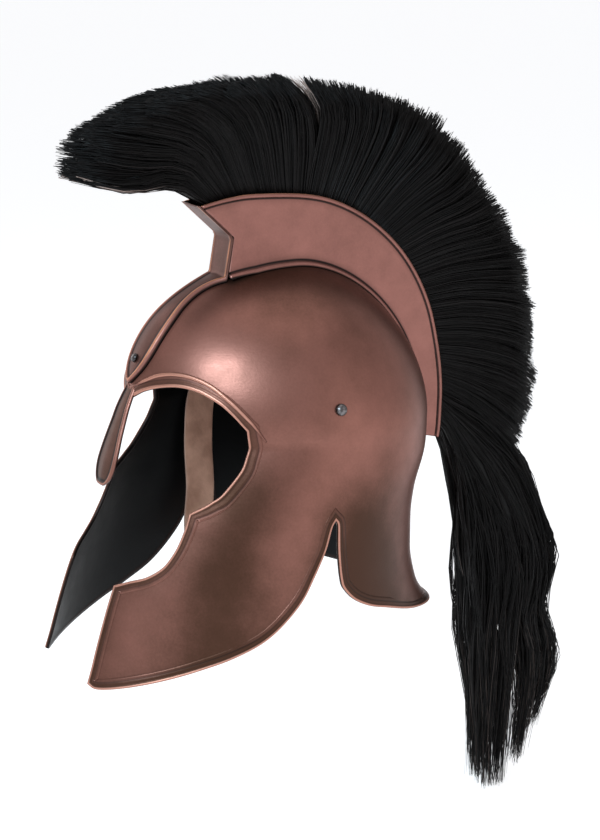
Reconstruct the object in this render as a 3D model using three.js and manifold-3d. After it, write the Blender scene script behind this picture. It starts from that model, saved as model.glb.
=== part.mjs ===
// A crested helmet of antiqued copper sheet with a horsehair plume, in millimetres.
// The wearer faces -Y, +Z is up and the origin is the top of the hollow, where the head meets the crown.
import * as THREE from 'three';
import * as BufferGeometryUtils from 'three/addons/utils/BufferGeometryUtils.js';
import Module from 'manifold-3d';

const wasm = await Module();
wasm.setup();

// Sizes of the sheet metal bowl and of the guards that hang from it
const WALL = 1.6;
const BOWL_WIDTH = 196;
const BOWL_FRONT = 125;
const BOWL_BACK = 104.5;
const BOWL_RISE = 110.7;
const SKIRT_DROP = 174;
const CHEEK_DROP = 276.5;
const DOME_FRONT_SQUARENESS = 2.31;
const DOME_SIDE_SQUARENESS = 1.9;
const DOME_BACK_SQUARENESS = 1.81;
const CLEARANCE = 0.3;

// Sizes of what is formed on the shell or fixed to it
const ROLL_WIDTH = 3.2;
const ROLL_PROUD = 1.2;
const ROLL_UNDER = 0.2;
const BROW_BEAD_WIDTH = 3.2;
const BROW_BEAD_PROUD = 1.5;
const NASAL_LENGTH = 68;
const NASAL_WIDTH = 28;
const NASAL_THICK = 2.6;
const NASAL_BORDER = 3;
const NASAL_LAP = 8;
const BORDER_PROUD = 1.1;
const CREST_WIDTH = 28;
const CREST_SHEET = 1.5;
const CREST_RADIUS = 170.6;
const CREST_FOOT = 3.2;
const CREST_BEAD = 2.4;
const CREST_BEAD_PROUD = 0.9;
const CREST_TUCK = 0.2;
const BAND_SHEET = 1.4;
const BAND_BORDER = 4.2;
const BAND_PROUD = 1.5;
const RIVET_SHANK = 4;
const RIVET_FLAT = 1.2;
const SIDE_RIVET_HEAD = 8.4;
const BAND_RIVET_HEAD = 6.2;
const STRAP_WIDTH = 23.5;
const STRAP_THICK = 2;
const STRAP_DROP = 160;
const STRAP_FORWARD = 21;
const STRAP_STANDOFF = 3.6;
const RIVET_TILT_ROOM = 2.8;
const PLUME_HEIGHT = 80;
const PLUME_REACH = 100;
const TAIL_DROP = 300;

const degrees = Math.PI / 180;
const power = (value, exponent) => Math.sign(value) * Math.abs(value) ** exponent;

// Reads one column of a table at a place between its rows, along a smooth curve through them.
function between(rows, key, column, at) {
  const last = rows.length - 1;
  const place = THREE.MathUtils.clamp(at, rows[0][key], rows[last][key]);
  let i = 0;
  while (i < last - 1 && rows[i + 1][key] < place) i += 1;
  const slope = (a, b) => (rows[b][column] - rows[a][column]) / (rows[b][key] - rows[a][key]);
  const step = rows[i + 1][key] - rows[i][key];
  const here = slope(i, i + 1);
  const before = i > 0 ? slope(i - 1, i) : here;
  const after = i < last - 1 ? slope(i + 1, i + 2) : here;
  const start = before * here > 0 ? (before + here) / 2 : 0;
  const end = after * here > 0 ? (after + here) / 2 : 0;
  const t = (place - rows[i][key]) / step;
  const s = 1 - t;
  return rows[i][column] * s * s * (1 + 2 * t) + rows[i + 1][column] * t * t * (1 + 2 * s)
    + step * t * s * (start * s - end * t);
}

// The skirt below the bowl: drop is a share of SKIRT_DROP, front and widest of BOWL_FRONT,
// back of BOWL_BACK and side of half the BOWL_WIDTH. The last two columns are the squareness of
// the front and back half of each section, where 2 is an ellipse.
const SKIRT = [
  { drop: 0, front: 1, back: 1, side: 1, widest: -0.037, frontSquare: 1.69, backSquare: 2.09 },
  { drop: 0.146, front: 1.045, back: 0.994, side: 1.006, widest: -0.105, frontSquare: 1.86, backSquare: 2.09 },
  { drop: 0.315, front: 1.129, back: 0.918, side: 1.01, widest: -0.177, frontSquare: 2, backSquare: 2.05 },
  { drop: 0.446, front: 1.225, back: 0.891, side: 1.012, widest: -0.209, frontSquare: 2, backSquare: 2.05 },
  { drop: 0.58, front: 1.317, back: 0.891, side: 1.013, widest: -0.217, frontSquare: 2, backSquare: 2.05 },
  { drop: 0.695, front: 1.381, back: 0.923, side: 1.014, widest: -0.217, frontSquare: 2, backSquare: 2.05 },
  { drop: 0.793, front: 1.429, back: 0.983, side: 1.018, widest: -0.217, frontSquare: 2, backSquare: 2.05 },
  { drop: 0.882, front: 1.469, back: 1.096, side: 1.031, widest: -0.217, frontSquare: 2, backSquare: 2.05 },
  { drop: 1, front: 1.529, back: 1.272, side: 1.051, widest: -0.217, frontSquare: 2, backSquare: 2.05 },
];
const CROWN = WALL;
const EQUATOR = CROWN - BOWL_RISE;

// A point of the shell's outer face. The turn goes round from the front midline, in radians.
// The row goes from 0 at the crown to 1 where the bowl is widest, and on to 2 at the skirt's foot.
function bareShell(turn, row) {
  const ahead = Math.cos(turn);
  const aside = Math.sin(turn);
  const drop = Math.max(row - 1, 0);
  const read = (column) => between(SKIRT, 'drop', column, drop);
  const squareness = THREE.MathUtils.lerp(DOME_SIDE_SQUARENESS,
    ahead > 0 ? DOME_FRONT_SQUARENESS : DOME_BACK_SQUARENESS, ahead * ahead);
  const slant = Math.min(row, 1) * Math.PI / 2;
  const spread = power(Math.sin(slant), 2 / squareness);
  const rise = power(Math.max(Math.cos(slant), 0), 2 / squareness);
  const widest = read('widest') * BOWL_FRONT;
  const round = 2 / read(ahead > 0 ? 'frontSquare' : 'backSquare');
  const reach = ahead > 0 ? read('front') * BOWL_FRONT + widest : read('back') * BOWL_BACK - widest;
  return new THREE.Vector3(
    read('side') * BOWL_WIDTH / 2 * spread * power(aside, round),
    spread * (widest - reach * power(ahead, round)),
    row < 1 ? EQUATOR + BOWL_RISE * rise : EQUATOR - drop * SKIRT_DROP,
  );
}

function shellNormal(turn, row) {
  const aside = 0.03;
  const down = 0.01;
  const at = Math.max(row, down);
  const across = bareShell(turn + aside, at).sub(bareShell(turn - aside, at));
  const along = bareShell(turn, at + down).sub(bareShell(turn, at - down));
  return along.cross(across).normalize();
}

function shellPoint(turn, row, lift = 0) {
  return bareShell(turn, row).addScaledVector(shellNormal(turn, row), lift);
}

// The row where the shell passes a height, at one turn.
function rowAtHeight(turn, height) {
  if (height <= EQUATOR) return 1 + (EQUATOR - height) / SKIRT_DROP;
  const ahead = Math.cos(turn);
  const squareness = THREE.MathUtils.lerp(DOME_SIDE_SQUARENESS,
    ahead > 0 ? DOME_FRONT_SQUARENESS : DOME_BACK_SQUARENESS, ahead * ahead);
  return Math.acos(((height - EQUATOR) / BOWL_RISE) ** (squareness / 2)) / (Math.PI / 2);
}

// A lane is the line on the shell at one distance from its midline plane. The angle is measured
// round the middle of the bowl, from straight up, and is negative towards the face.
const CENTRE = new THREE.Vector3(0, SKIRT[0].widest * BOWL_FRONT, EQUATOR);

function lanePlace(side, progress) {
  const x = Math.max(side, 0.5) / (BOWL_WIDTH / 2);
  const ends = [SKIRT[0].frontSquare, SKIRT[0].backSquare].map((n) => Math.asin(x ** (n / 2)));
  if (progress > 1) {
    const row = progress;
    const width = between(SKIRT, 'drop', 'side', row - 1);
    return { turn: Math.PI - Math.asin((x / width) ** (SKIRT[0].backSquare / 2)), row };
  }
  const turn = THREE.MathUtils.lerp(ends[0], Math.PI - ends[1], progress);
  const ahead = Math.cos(turn);
  const round = 2 / (ahead > 0 ? SKIRT[0].frontSquare : SKIRT[0].backSquare);
  const squareness = THREE.MathUtils.lerp(DOME_SIDE_SQUARENESS,
    ahead > 0 ? DOME_FRONT_SQUARENESS : DOME_BACK_SQUARENESS, ahead * ahead);
  const spread = Math.min(x / power(Math.sin(turn), round), 1);
  return { turn, row: Math.asin(spread ** (squareness / 2)) / (Math.PI / 2) };
}

function angleOf(point) {
  return Math.atan2(point.y - CENTRE.y, point.z - CENTRE.z);
}

function lanePoint(side, angle, lift = 0) {
  let low = 0;
  let high = 1.4;
  for (let i = 0; i < 40; i += 1) {
    const middle = (low + high) / 2;
    const place = lanePlace(Math.abs(side), middle);
    if (angleOf(bareShell(place.turn, place.row)) < angle) low = middle;
    else high = middle;
  }
  const place = lanePlace(Math.abs(side), low);
  const point = shellPoint(place.turn, place.row, lift);
  point.x = side < 0 ? -point.x : point.x;
  if (side === 0) point.x = 0;
  return point;
}

// Closed bodies

function closedBody(points, faces) {
  const geometry = new THREE.BufferGeometry();
  const numbers = points.flatMap((p) => [p.x, p.y, p.z]);
  geometry.setAttribute('position', new THREE.Float32BufferAttribute(numbers, 3));
  geometry.setIndex(faces.flat());
  return geometry;
}

function toSolid(geometry) {
  const bare = geometry.clone();
  bare.deleteAttribute('normal');
  bare.deleteAttribute('uv');
  const merged = BufferGeometryUtils.mergeVertices(bare, 1e-4);
  const solid = new wasm.Manifold(new wasm.Mesh({
    numProp: 3,
    vertProperties: new Float32Array(merged.attributes.position.array),
    triVerts: new Uint32Array(merged.index.array),
  }));
  if (solid.volume() >= 0) return solid;
  const turned = merged.index.array.slice();
  for (let i = 0; i < turned.length; i += 3) [turned[i], turned[i + 1]] = [turned[i + 1], turned[i]];
  return new wasm.Manifold(new wasm.Mesh({
    numProp: 3,
    vertProperties: new Float32Array(merged.attributes.position.array),
    triVerts: new Uint32Array(turned),
  }));
}

const joined = (solids) => solids.reduce((whole, next) => whole.add(next));

function toGeometry(solid) {
  const mesh = solid.getMesh();
  const geometry = new THREE.BufferGeometry();
  const positions = new Float32Array(mesh.numVert * 3);
  for (let i = 0; i < mesh.numVert; i += 1) {
    for (let k = 0; k < 3; k += 1) positions[i * 3 + k] = mesh.vertProperties[i * mesh.numProp + k];
  }
  geometry.setAttribute('position', new THREE.BufferAttribute(positions, 3));
  geometry.setIndex(new THREE.BufferAttribute(new Uint32Array(mesh.triVerts), 1));
  geometry.computeVertexNormals();
  return geometry;
}

// A bar through rings of equal size, one ring for each station, with flat ends.
function barThrough(rings) {
  const sides = rings[0].length;
  const faces = [];
  for (let r = 0; r + 1 < rings.length; r += 1) {
    for (let k = 0; k < sides; k += 1) {
      const a = r * sides + k;
      const b = r * sides + (k + 1) % sides;
      faces.push([a, b, b + sides], [a, b + sides, a + sides]);
    }
  }
  const outline = THREE.ShapeUtils.triangulateShape(flatten(rings[0]), []);
  const end = (rings.length - 1) * sides;
  for (const [a, b, c] of outline) faces.push([c, b, a], [end + a, end + b, end + c]);
  return closedBody(rings.flat(), faces);
}

// A ring's points on its own plane, for its end cap.
function flatten(ring) {
  const middle = ring.reduce((sum, p) => sum.add(p), new THREE.Vector3()).divideScalar(ring.length);
  const normal = new THREE.Vector3();
  ring.forEach((p, i) => {
    const next = ring[(i + 1) % ring.length];
    normal.add(p.clone().sub(middle).cross(next.clone().sub(middle)));
  });
  normal.normalize();
  const across = ring[0].clone().sub(middle).projectOnPlane(normal).normalize();
  const up = normal.clone().cross(across);
  return ring.map((p) => new THREE.Vector2(p.clone().sub(middle).dot(across), p.clone().sub(middle).dot(up)));
}

// A flat outline of [y, z] points, extruded from one x to another.
function slab(outline, fromX, toX) {
  const shape = new THREE.Shape(outline.map(([y, z]) => new THREE.Vector2(y, z)));
  const geometry = new THREE.ExtrudeGeometry(shape, { depth: toX - fromX, bevelEnabled: false });
  geometry.applyMatrix4(new THREE.Matrix4().makeBasis(
    new THREE.Vector3(0, 1, 0), new THREE.Vector3(0, 0, 1), new THREE.Vector3(1, 0, 0)));
  return geometry.translate(fromX, 0, 0);
}

function mirrored(geometry) {
  const copy = geometry.clone();
  copy.scale(-1, 1, 1);
  return copy;
}

// The sheet's edge on the wearer's left, from the brow's midline to the nape's. The turn is in
// degrees, the drop a share of CHEEK_DROP below the crown, the roll a share of ROLL_WIDTH.
const EDGE = {
  brow: [
    { turn: 0, drop: 0.308, roll: 1.1 },
    { turn: 4.4, drop: 0.304, roll: 1.1 },
    { turn: 12.9, drop: 0.281, roll: 1.1 },
    { turn: 20.9, drop: 0.266, roll: 1.1 },
    { turn: 29.6, drop: 0.26, roll: 1.1 },
    { turn: 36.8, drop: 0.269, roll: 1.1 },
    { turn: 43.3, drop: 0.29, roll: 1.1 },
    { turn: 48.4, drop: 0.318, roll: 1.2 },
    { turn: 53.6, drop: 0.358, roll: 1.4 },
  ],
  eye: [
    { turn: 53.6, drop: 0.358, roll: 1.4 },
    { turn: 54.3, drop: 0.42, roll: 1.8 },
    { turn: 53.8, drop: 0.459, roll: 1.9 },
    { turn: 51.3, drop: 0.498, roll: 1.9 },
    { turn: 47.3, drop: 0.531, roll: 1.6 },
    { turn: 40.9, drop: 0.56, roll: 1.1 },
  ],
  mouth: [
    { turn: 40.9, drop: 0.56, roll: 1.1 },
    { turn: 41, drop: 0.6, roll: 1 },
    { turn: 40.2, drop: 0.658, roll: 0.9 },
    { turn: 38.5, drop: 0.688, roll: 0.9 },
    { turn: 34, drop: 0.716, roll: 0.9 },
    { turn: 27.2, drop: 0.734, roll: 0.9 },
    { turn: 21.9, drop: 0.749, roll: 0.9 },
  ],
  front: [
    { turn: 21.9, drop: 0.749, roll: 0.9 },
    { turn: 22.3, drop: 0.87, roll: 0.9 },
    { turn: 22.2, drop: 0.99, roll: 0.9 },
  ],
  cheek: [
    { turn: 22.2, drop: 0.99, roll: 0.9 },
    { turn: 26, drop: 0.998, roll: 1 },
    { turn: 35.9, drop: 0.986, roll: 1.1 },
    { turn: 47.7, drop: 0.963, roll: 1.1 },
    { turn: 57.1, drop: 0.94, roll: 1.1 },
    { turn: 66.3, drop: 0.914, roll: 1.1 },
    { turn: 75.9, drop: 0.87, roll: 1 },
    { turn: 83.5, drop: 0.802, roll: 1 },
    { turn: 88.2, drop: 0.732, roll: 0.9 },
    { turn: 91.6, drop: 0.665, roll: 0.8 },
    { turn: 92.6, drop: 0.61, roll: 0.7 },
    { turn: 93.5, drop: 0.592, roll: 0.6 },
  ],
  nape: [
    { turn: 93.5, drop: 0.592, roll: 0.6 },
    { turn: 95, drop: 0.607, roll: 0.7 },
    { turn: 97.2, drop: 0.698, roll: 0.9 },
    { turn: 98.2, drop: 0.747, roll: 0.9 },
    { turn: 99.9, drop: 0.782, roll: 1 },
    { turn: 103.5, drop: 0.812, roll: 1 },
    { turn: 110, drop: 0.842, roll: 1 },
    { turn: 119.4, drop: 0.868, roll: 1 },
    { turn: 133.5, drop: 0.905, roll: 1 },
    { turn: 145.5, drop: 0.927, roll: 1 },
    { turn: 162, drop: 0.949, roll: 1 },
    { turn: 180, drop: 0.957, roll: 1 },
  ],
};
const EDGE_STEPS = { brow: 9, eye: 8, mouth: 7, front: 3, cheek: 16, nape: 15 };

// The ridge over the brow, with its width and height as a share at each end.
const BROW_BEAD = [
  { turn: 6.5, drop: 0.275, roll: 0.35 },
  { turn: 12.5, drop: 0.257, roll: 0.9 },
  { turn: 19.6, drop: 0.239, roll: 1 },
  { turn: 25.8, drop: 0.233, roll: 1 },
  { turn: 33.2, drop: 0.237, roll: 1 },
  { turn: 40.9, drop: 0.256, roll: 1 },
  { turn: 47.6, drop: 0.289, roll: 1 },
  { turn: 53.3, drop: 0.327, roll: 0.9 },
  { turn: 59.5, drop: 0.385, roll: 0.35 },
];

// Stations along a smooth line through a table's rows, each with its place on the shell.
function stationsAlong(rows, steps) {
  const marks = rows.map(({ turn, drop, roll }) => new THREE.Vector3(turn / 90, drop, roll));
  const curve = new THREE.CatmullRomCurve3(marks, false, 'centripetal');
  return Array.from({ length: steps + 1 }, (_, i) => {
    const mark = curve.getPointAt(i / steps);
    const turn = mark.x * Math.PI / 2;
    const row = rowAtHeight(turn, CROWN - mark.y * CHEEK_DROP);
    return { turn, row, roll: mark.z, point: bareShell(turn, row), normal: shellNormal(turn, row) };
  });
}

const edgeParts = Object.fromEntries(Object.entries(EDGE).map(
  ([name, rows]) => [name, stationsAlong(rows, EDGE_STEPS[name])]));
const wholeEdge = Object.values(edgeParts).flatMap((part, i) => (i === 0 ? part : part.slice(1)));

// Each section of a moulding lies across its line: in is into the metal, out is off its face.
function mouldingAlong(stations, section) {
  const last = stations.length - 1;
  const inward = (a, b, normal) => b.point.clone().sub(a.point).cross(normal).normalize().negate();
  const rings = stations.map((here, i) => {
    const before = stations[Math.max(i - 1, 0)];
    const after = stations[Math.min(i + 1, last)];
    const first = inward(i > 0 ? before : here, i > 0 ? here : after, here.normal);
    const second = inward(i < last ? here : before, i < last ? after : here, here.normal);
    const across = first.clone().add(second).normalize();
    const mitre = Math.min(1 / Math.max(across.dot(first), 0.6), 1.5);
    if (i === 0 || i === last) across.setX(0).normalize();
    return section(here.roll).map(([deep, proud]) => here.point.clone()
      .addScaledVector(across, deep * mitre).addScaledVector(here.normal, proud));
  });
  return barThrough(rings);
}

// The shell: a bowl with cheek guards, nasal and neck guard, hammered from one sheet

const TURN_STEPS = 28;
const ROWS = [0.16, 0.32, 0.48, 0.64, 0.8, 0.93, 1.06, 1.18, 1.3, 1.42, 1.54, 1.66, 1.76, 1.84, 1.92, 2];

function sheetBody() {
  const points = [new THREE.Vector3(0, 0, CROWN), new THREE.Vector3(0, 0, 0)];
  for (const lift of [0, -WALL]) {
    for (const row of ROWS) {
      for (let k = 0; k < TURN_STEPS; k += 1) {
        points.push(shellPoint(k / TURN_STEPS * 2 * Math.PI, row, lift));
      }
    }
  }
  const at = (face, r, k) => 2 + (face * ROWS.length + r) * TURN_STEPS + k % TURN_STEPS;
  const faces = [];
  const last = ROWS.length - 1;
  for (let k = 0; k < TURN_STEPS; k += 1) {
    faces.push([0, at(0, 0, k), at(0, 0, k + 1)], [1, at(1, 0, k + 1), at(1, 0, k)]);
    for (let r = 0; r < last; r += 1) {
      for (const face of [0, 1]) {
        const [a, b] = face ? [k + 1, k] : [k, k + 1];
        faces.push([at(face, r, a), at(face, r + 1, a), at(face, r + 1, b)],
          [at(face, r, a), at(face, r + 1, b), at(face, r, b)]);
      }
    }
    faces.push([at(0, last, k), at(1, last, k), at(1, last, k + 1)],
      [at(0, last, k), at(1, last, k + 1), at(0, last, k + 1)]);
  }
  return closedBody(points, faces);
}

// Far enough outside the helmet to clear it
const BEYOND = 400;

// The face opening is cut slantwise, square to the metal, and each half stays on its own side.
function faceCutter() {
  const slant = Math.PI / 4;
  const across = new THREE.Vector3(Math.cos(slant), Math.sin(slant), 0);
  const outward = new THREE.Vector3(Math.sin(slant), -Math.cos(slant), 0);
  const up = new THREE.Vector3(0, 0, 1);
  const { brow, eye, mouth, front } = edgeParts;
  const line = [...brow, ...eye.slice(1), ...mouth.slice(1), ...front.slice(1)]
    .map(({ point }) => new THREE.Vector2(point.dot(across), point.z));
  const start = line[0];
  const end = line[line.length - 1];
  const shape = new THREE.Shape([...line, new THREE.Vector2(end.x, -BEYOND),
    new THREE.Vector2(-BEYOND, -BEYOND), new THREE.Vector2(-BEYOND, start.y)]);
  const prism = new THREE.ExtrudeGeometry(shape, { depth: 2 * BEYOND, bevelEnabled: false });
  prism.translate(0, 0, -BEYOND);
  prism.applyMatrix4(new THREE.Matrix4().makeBasis(across, up, outward));
  const ownSide = new THREE.BoxGeometry(BEYOND, 2 * BEYOND, 2 * BEYOND).translate(BEYOND / 2, 0, 0);
  return toSolid(prism).intersect(toSolid(ownSide));
}

function footCutter() {
  const { cheek, nape } = edgeParts;
  const line = [...cheek.slice(1), ...nape.slice(1)].map(({ point }) => [point.y, point.z]);
  const [firstY, firstZ] = line[0];
  const [, lastZ] = line[line.length - 1];
  const outline = [[-BEYOND, firstZ - ROLL_WIDTH], [firstY, firstZ], ...line.slice(1),
    [BEYOND, lastZ], [BEYOND, -BEYOND], [-BEYOND, -BEYOND]];
  return toSolid(slab(outline, -BEYOND, BEYOND));
}

// The nasal, a tongue with a raised border. Its rows go down from the brow: drop is a share of
// NASAL_LENGTH, forward of BOWL_FRONT, and width of NASAL_WIDTH.
const NASAL = [
  { drop: 0, forward: 0.968, width: 0.5 },
  { drop: 0.12, forward: 1.003, width: 0.57 },
  { drop: 0.26, forward: 1.04, width: 0.66 },
  { drop: 0.42, forward: 1.074, width: 0.76 },
  { drop: 0.58, forward: 1.106, width: 0.89 },
  { drop: 0.74, forward: 1.137, width: 0.98 },
  { drop: 0.87, forward: 1.156, width: 0.9 },
  { drop: 0.945, forward: 1.164, width: 0.68 },
  { drop: 1, forward: 1.169, width: 0.3 },
];
const NASAL_TOP = CROWN - EDGE.brow[0].drop * CHEEK_DROP + NASAL_LAP;
const NASAL_BOW = 0.16;

function nasalBody() {
  const rings = NASAL.map(({ drop, forward, width }) => {
    const half = width * NASAL_WIDTH / 2;
    const border = Math.min(NASAL_BORDER, half * 0.5);
    const z = NASAL_TOP - drop * NASAL_LENGTH;
    const front = -forward * BOWL_FRONT;
    const place = (x, proud) => new THREE.Vector3(x, front - proud + NASAL_BOW * Math.abs(x), z);
    return [
      place(-half, -NASAL_THICK), place(0, -NASAL_THICK), place(half, -NASAL_THICK),
      place(half, 0), place(half - border / 2, BORDER_PROUD), place(half - border, 0),
      place(0, 0),
      place(border - half, 0), place(border / 2 - half, BORDER_PROUD), place(-half, 0),
    ];
  });
  return barThrough(rings);
}

// Rivets: a domed head outside, a shank through the drilled sheet and a flat head inside

const SIDE_RIVET = { turn: 87 * degrees, drop: 0.316 };
const BAND_RIVET_ANGLE = -65 * degrees;
const RIVET_SIDES = 10;

function facing(geometry, point, normal) {
  const turn = new THREE.Quaternion().setFromUnitVectors(new THREE.Vector3(0, 1, 0), normal);
  return geometry.applyQuaternion(turn).translate(point.x, point.y, point.z);
}

function rivetBody(place, head, over, under) {
  const shank = RIVET_SHANK / 2;
  const dome = head / 2;
  const profile = [
    [0, -under - RIVET_FLAT], [dome * 0.9, -under - RIVET_FLAT], [dome * 0.9, -under],
    [shank, -under], [shank, over], [dome, over],
    [dome * 0.92, over + dome * 0.35], [dome * 0.6, over + dome * 0.68], [0, over + dome * 0.82],
  ].map(([r, h]) => new THREE.Vector2(r, h));
  return facing(new THREE.LatheGeometry(profile, RIVET_SIDES), place.point, place.normal);
}

function drillFor(place) {
  const radius = RIVET_SHANK / 2 + CLEARANCE;
  const bore = new THREE.CylinderGeometry(radius, radius, 8 * RIVET_SHANK, RIVET_SIDES);
  return toSolid(facing(bore, place.point, place.normal));
}

const sideRow = rowAtHeight(SIDE_RIVET.turn, CROWN - SIDE_RIVET.drop * CHEEK_DROP);
const sidePlace = {
  point: bareShell(SIDE_RIVET.turn, sideRow),
  normal: shellNormal(SIDE_RIVET.turn, sideRow),
};
const otherSidePlace = {
  point: sidePlace.point.clone().setX(-sidePlace.point.x),
  normal: sidePlace.normal.clone().setX(-sidePlace.normal.x),
};
const bandPlace = {
  point: lanePoint(0, BAND_RIVET_ANGLE),
  normal: lanePoint(0, BAND_RIVET_ANGLE, 1).sub(lanePoint(0, BAND_RIVET_ANGLE)).setX(0).normalize(),
};

const rollSection = (roll) => {
  const width = roll * ROLL_WIDTH;
  return [[-ROLL_UNDER * 1.5, -WALL - ROLL_UNDER], [width * 0.6, -WALL - ROLL_UNDER],
    [width, -ROLL_UNDER / 2], [width * 0.55, ROLL_PROUD], [-ROLL_UNDER * 2.5, ROLL_PROUD * 0.5]];
};
const beadSection = (roll) => {
  const half = roll * BROW_BEAD_WIDTH / 2;
  const proud = roll * BROW_BEAD_PROUD;
  const side = BROW_BEAD_PROUD / 18;
  return [[-half, -WALL / 2], [half, -WALL / 2], [half, side],
    [half * 0.4, proud], [-half * 0.4, proud], [-half, side]];
};

function shellSolid() {
  const half = faceCutter();
  const otherHalf = half.mirror([1, 0, 0]);
  const sheet = toSolid(sheetBody()).subtract(half).subtract(otherHalf).subtract(footCutter());
  const roll = mouldingAlong(wholeEdge, rollSection);
  const bead = mouldingAlong(stationsAlong(BROW_BEAD, 12), beadSection);
  const whole = joined([sheet, toSolid(roll), toSolid(mirrored(roll)),
    toSolid(bead), toSolid(mirrored(bead)), toSolid(nasalBody())]);
  const places = [sidePlace, otherSidePlace, bandPlace];
  return places.reduce((body, place) => body.subtract(drillFor(place)), whole);
}

// The forehead band: one strip that stands as the front of the crest box, then runs down the
// forehead and widens to a spearhead. Half is a share of CREST_WIDTH / 2.
const BAND = [
  { angle: -25, half: 1 },
  { angle: -29, half: 0.8 },
  { angle: -35, half: 0.7 },
  { angle: -42, half: 0.8 },
  { angle: -49, half: 0.98 },
  { angle: -56, half: 1.04 },
  { angle: -63, half: 0.96 },
  { angle: -68, half: 0.7 },
  { angle: -71.5, half: 0.32 },
  { angle: -73.2, half: 0.08 },
];

const BAND_FALLING = BAND.map(({ angle, half }) => ({ down: -angle, half }));
const BAND_STEPS = 13;
const BAND_SEAT = 2 * CLEARANCE;
const BOX_SEAT = 2 * CLEARANCE;

// The crest box's front edge, bent in at half height. The angle is from the bowl's middle and the
// radius is a share of CREST_RADIUS.
const CREST_FRONT = [
  { angle: -24.3, radius: 0.689 },
  { angle: -17.7, radius: 0.815 },
  { angle: -23.4, radius: 0.996 },
];

// The crest box's top edge.
const CREST_TOP = [
  { angle: -22.3, radius: 1 },
  { angle: -4.6, radius: 0.945 },
  { angle: 12.9, radius: 0.9226 },
  { angle: 34.9, radius: 0.8734 },
  { angle: 58.4, radius: 0.8124 },
  { angle: 71.9, radius: 0.7808 },
  { angle: 92.3, radius: 0.7696 },
  { angle: 104.4, radius: 0.7814 },
];
const CREST_BACK_ANGLE = 104.4;

const polar = (angle, radius) => [
  CENTRE.y + Math.sin(angle * degrees) * radius,
  CENTRE.z + Math.cos(angle * degrees) * radius,
];
const crestTop = (angle) => between(CREST_TOP, 'angle', 'radius', angle) * CREST_RADIUS;

function seatRadius(side, angle, lift) {
  const point = lanePoint(side, angle * degrees, lift);
  return Math.hypot(point.y - CENTRE.y, point.z - CENTRE.z);
}

function bandSolid() {
  const lift = BAND_SEAT;
  const [first, last] = [BAND[0].angle, BAND[BAND.length - 1].angle];
  const rings = Array.from({ length: BAND_STEPS + 1 }, (_, i) => {
    const angle = THREE.MathUtils.lerp(first, last, i / BAND_STEPS);
    const edge = -between(BAND_FALLING, 'down', 'half', -angle) * CREST_WIDTH / 2;
    const border = Math.min(BAND_BORDER, -edge * 0.5);
    const at = (x, proud) => lanePoint(x, angle * degrees, lift + proud);
    const under = [1, 0.5, 0, -0.5, -1].map((share) => at(share * edge, 0));
    const over = [-1, 1].map((side) => [
      at(side * edge, BAND_SHEET),
      at(side * (edge + border / 2), BAND_SHEET + BAND_PROUD),
      at(side * (edge + border), BAND_SHEET),
    ]);
    return [...under, ...over[0], at(0, BAND_SHEET), ...over[1].reverse()];
  });
  const back = CREST_FRONT.map(({ angle, radius }) => polar(angle, radius * CREST_RADIUS));
  const foot = seatRadius(CREST_WIDTH / 2, CREST_FRONT[0].angle, lift);
  back[0] = polar(CREST_FRONT[0].angle, Math.max(foot, seatRadius(0, CREST_FRONT[0].angle, lift)));
  const front = back.map(([y, z]) => [y - BAND_SHEET, z]);
  const upright = slab([...back, ...front.reverse()], -CREST_WIDTH / 2, CREST_WIDTH / 2);
  return toSolid(barThrough(rings)).add(toSolid(upright)).subtract(drillFor(bandPlace));
}

// The crest box: two side plates on a floor that rides the bowl, closed at the nape

const CREST_STEPS = 14;

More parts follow.
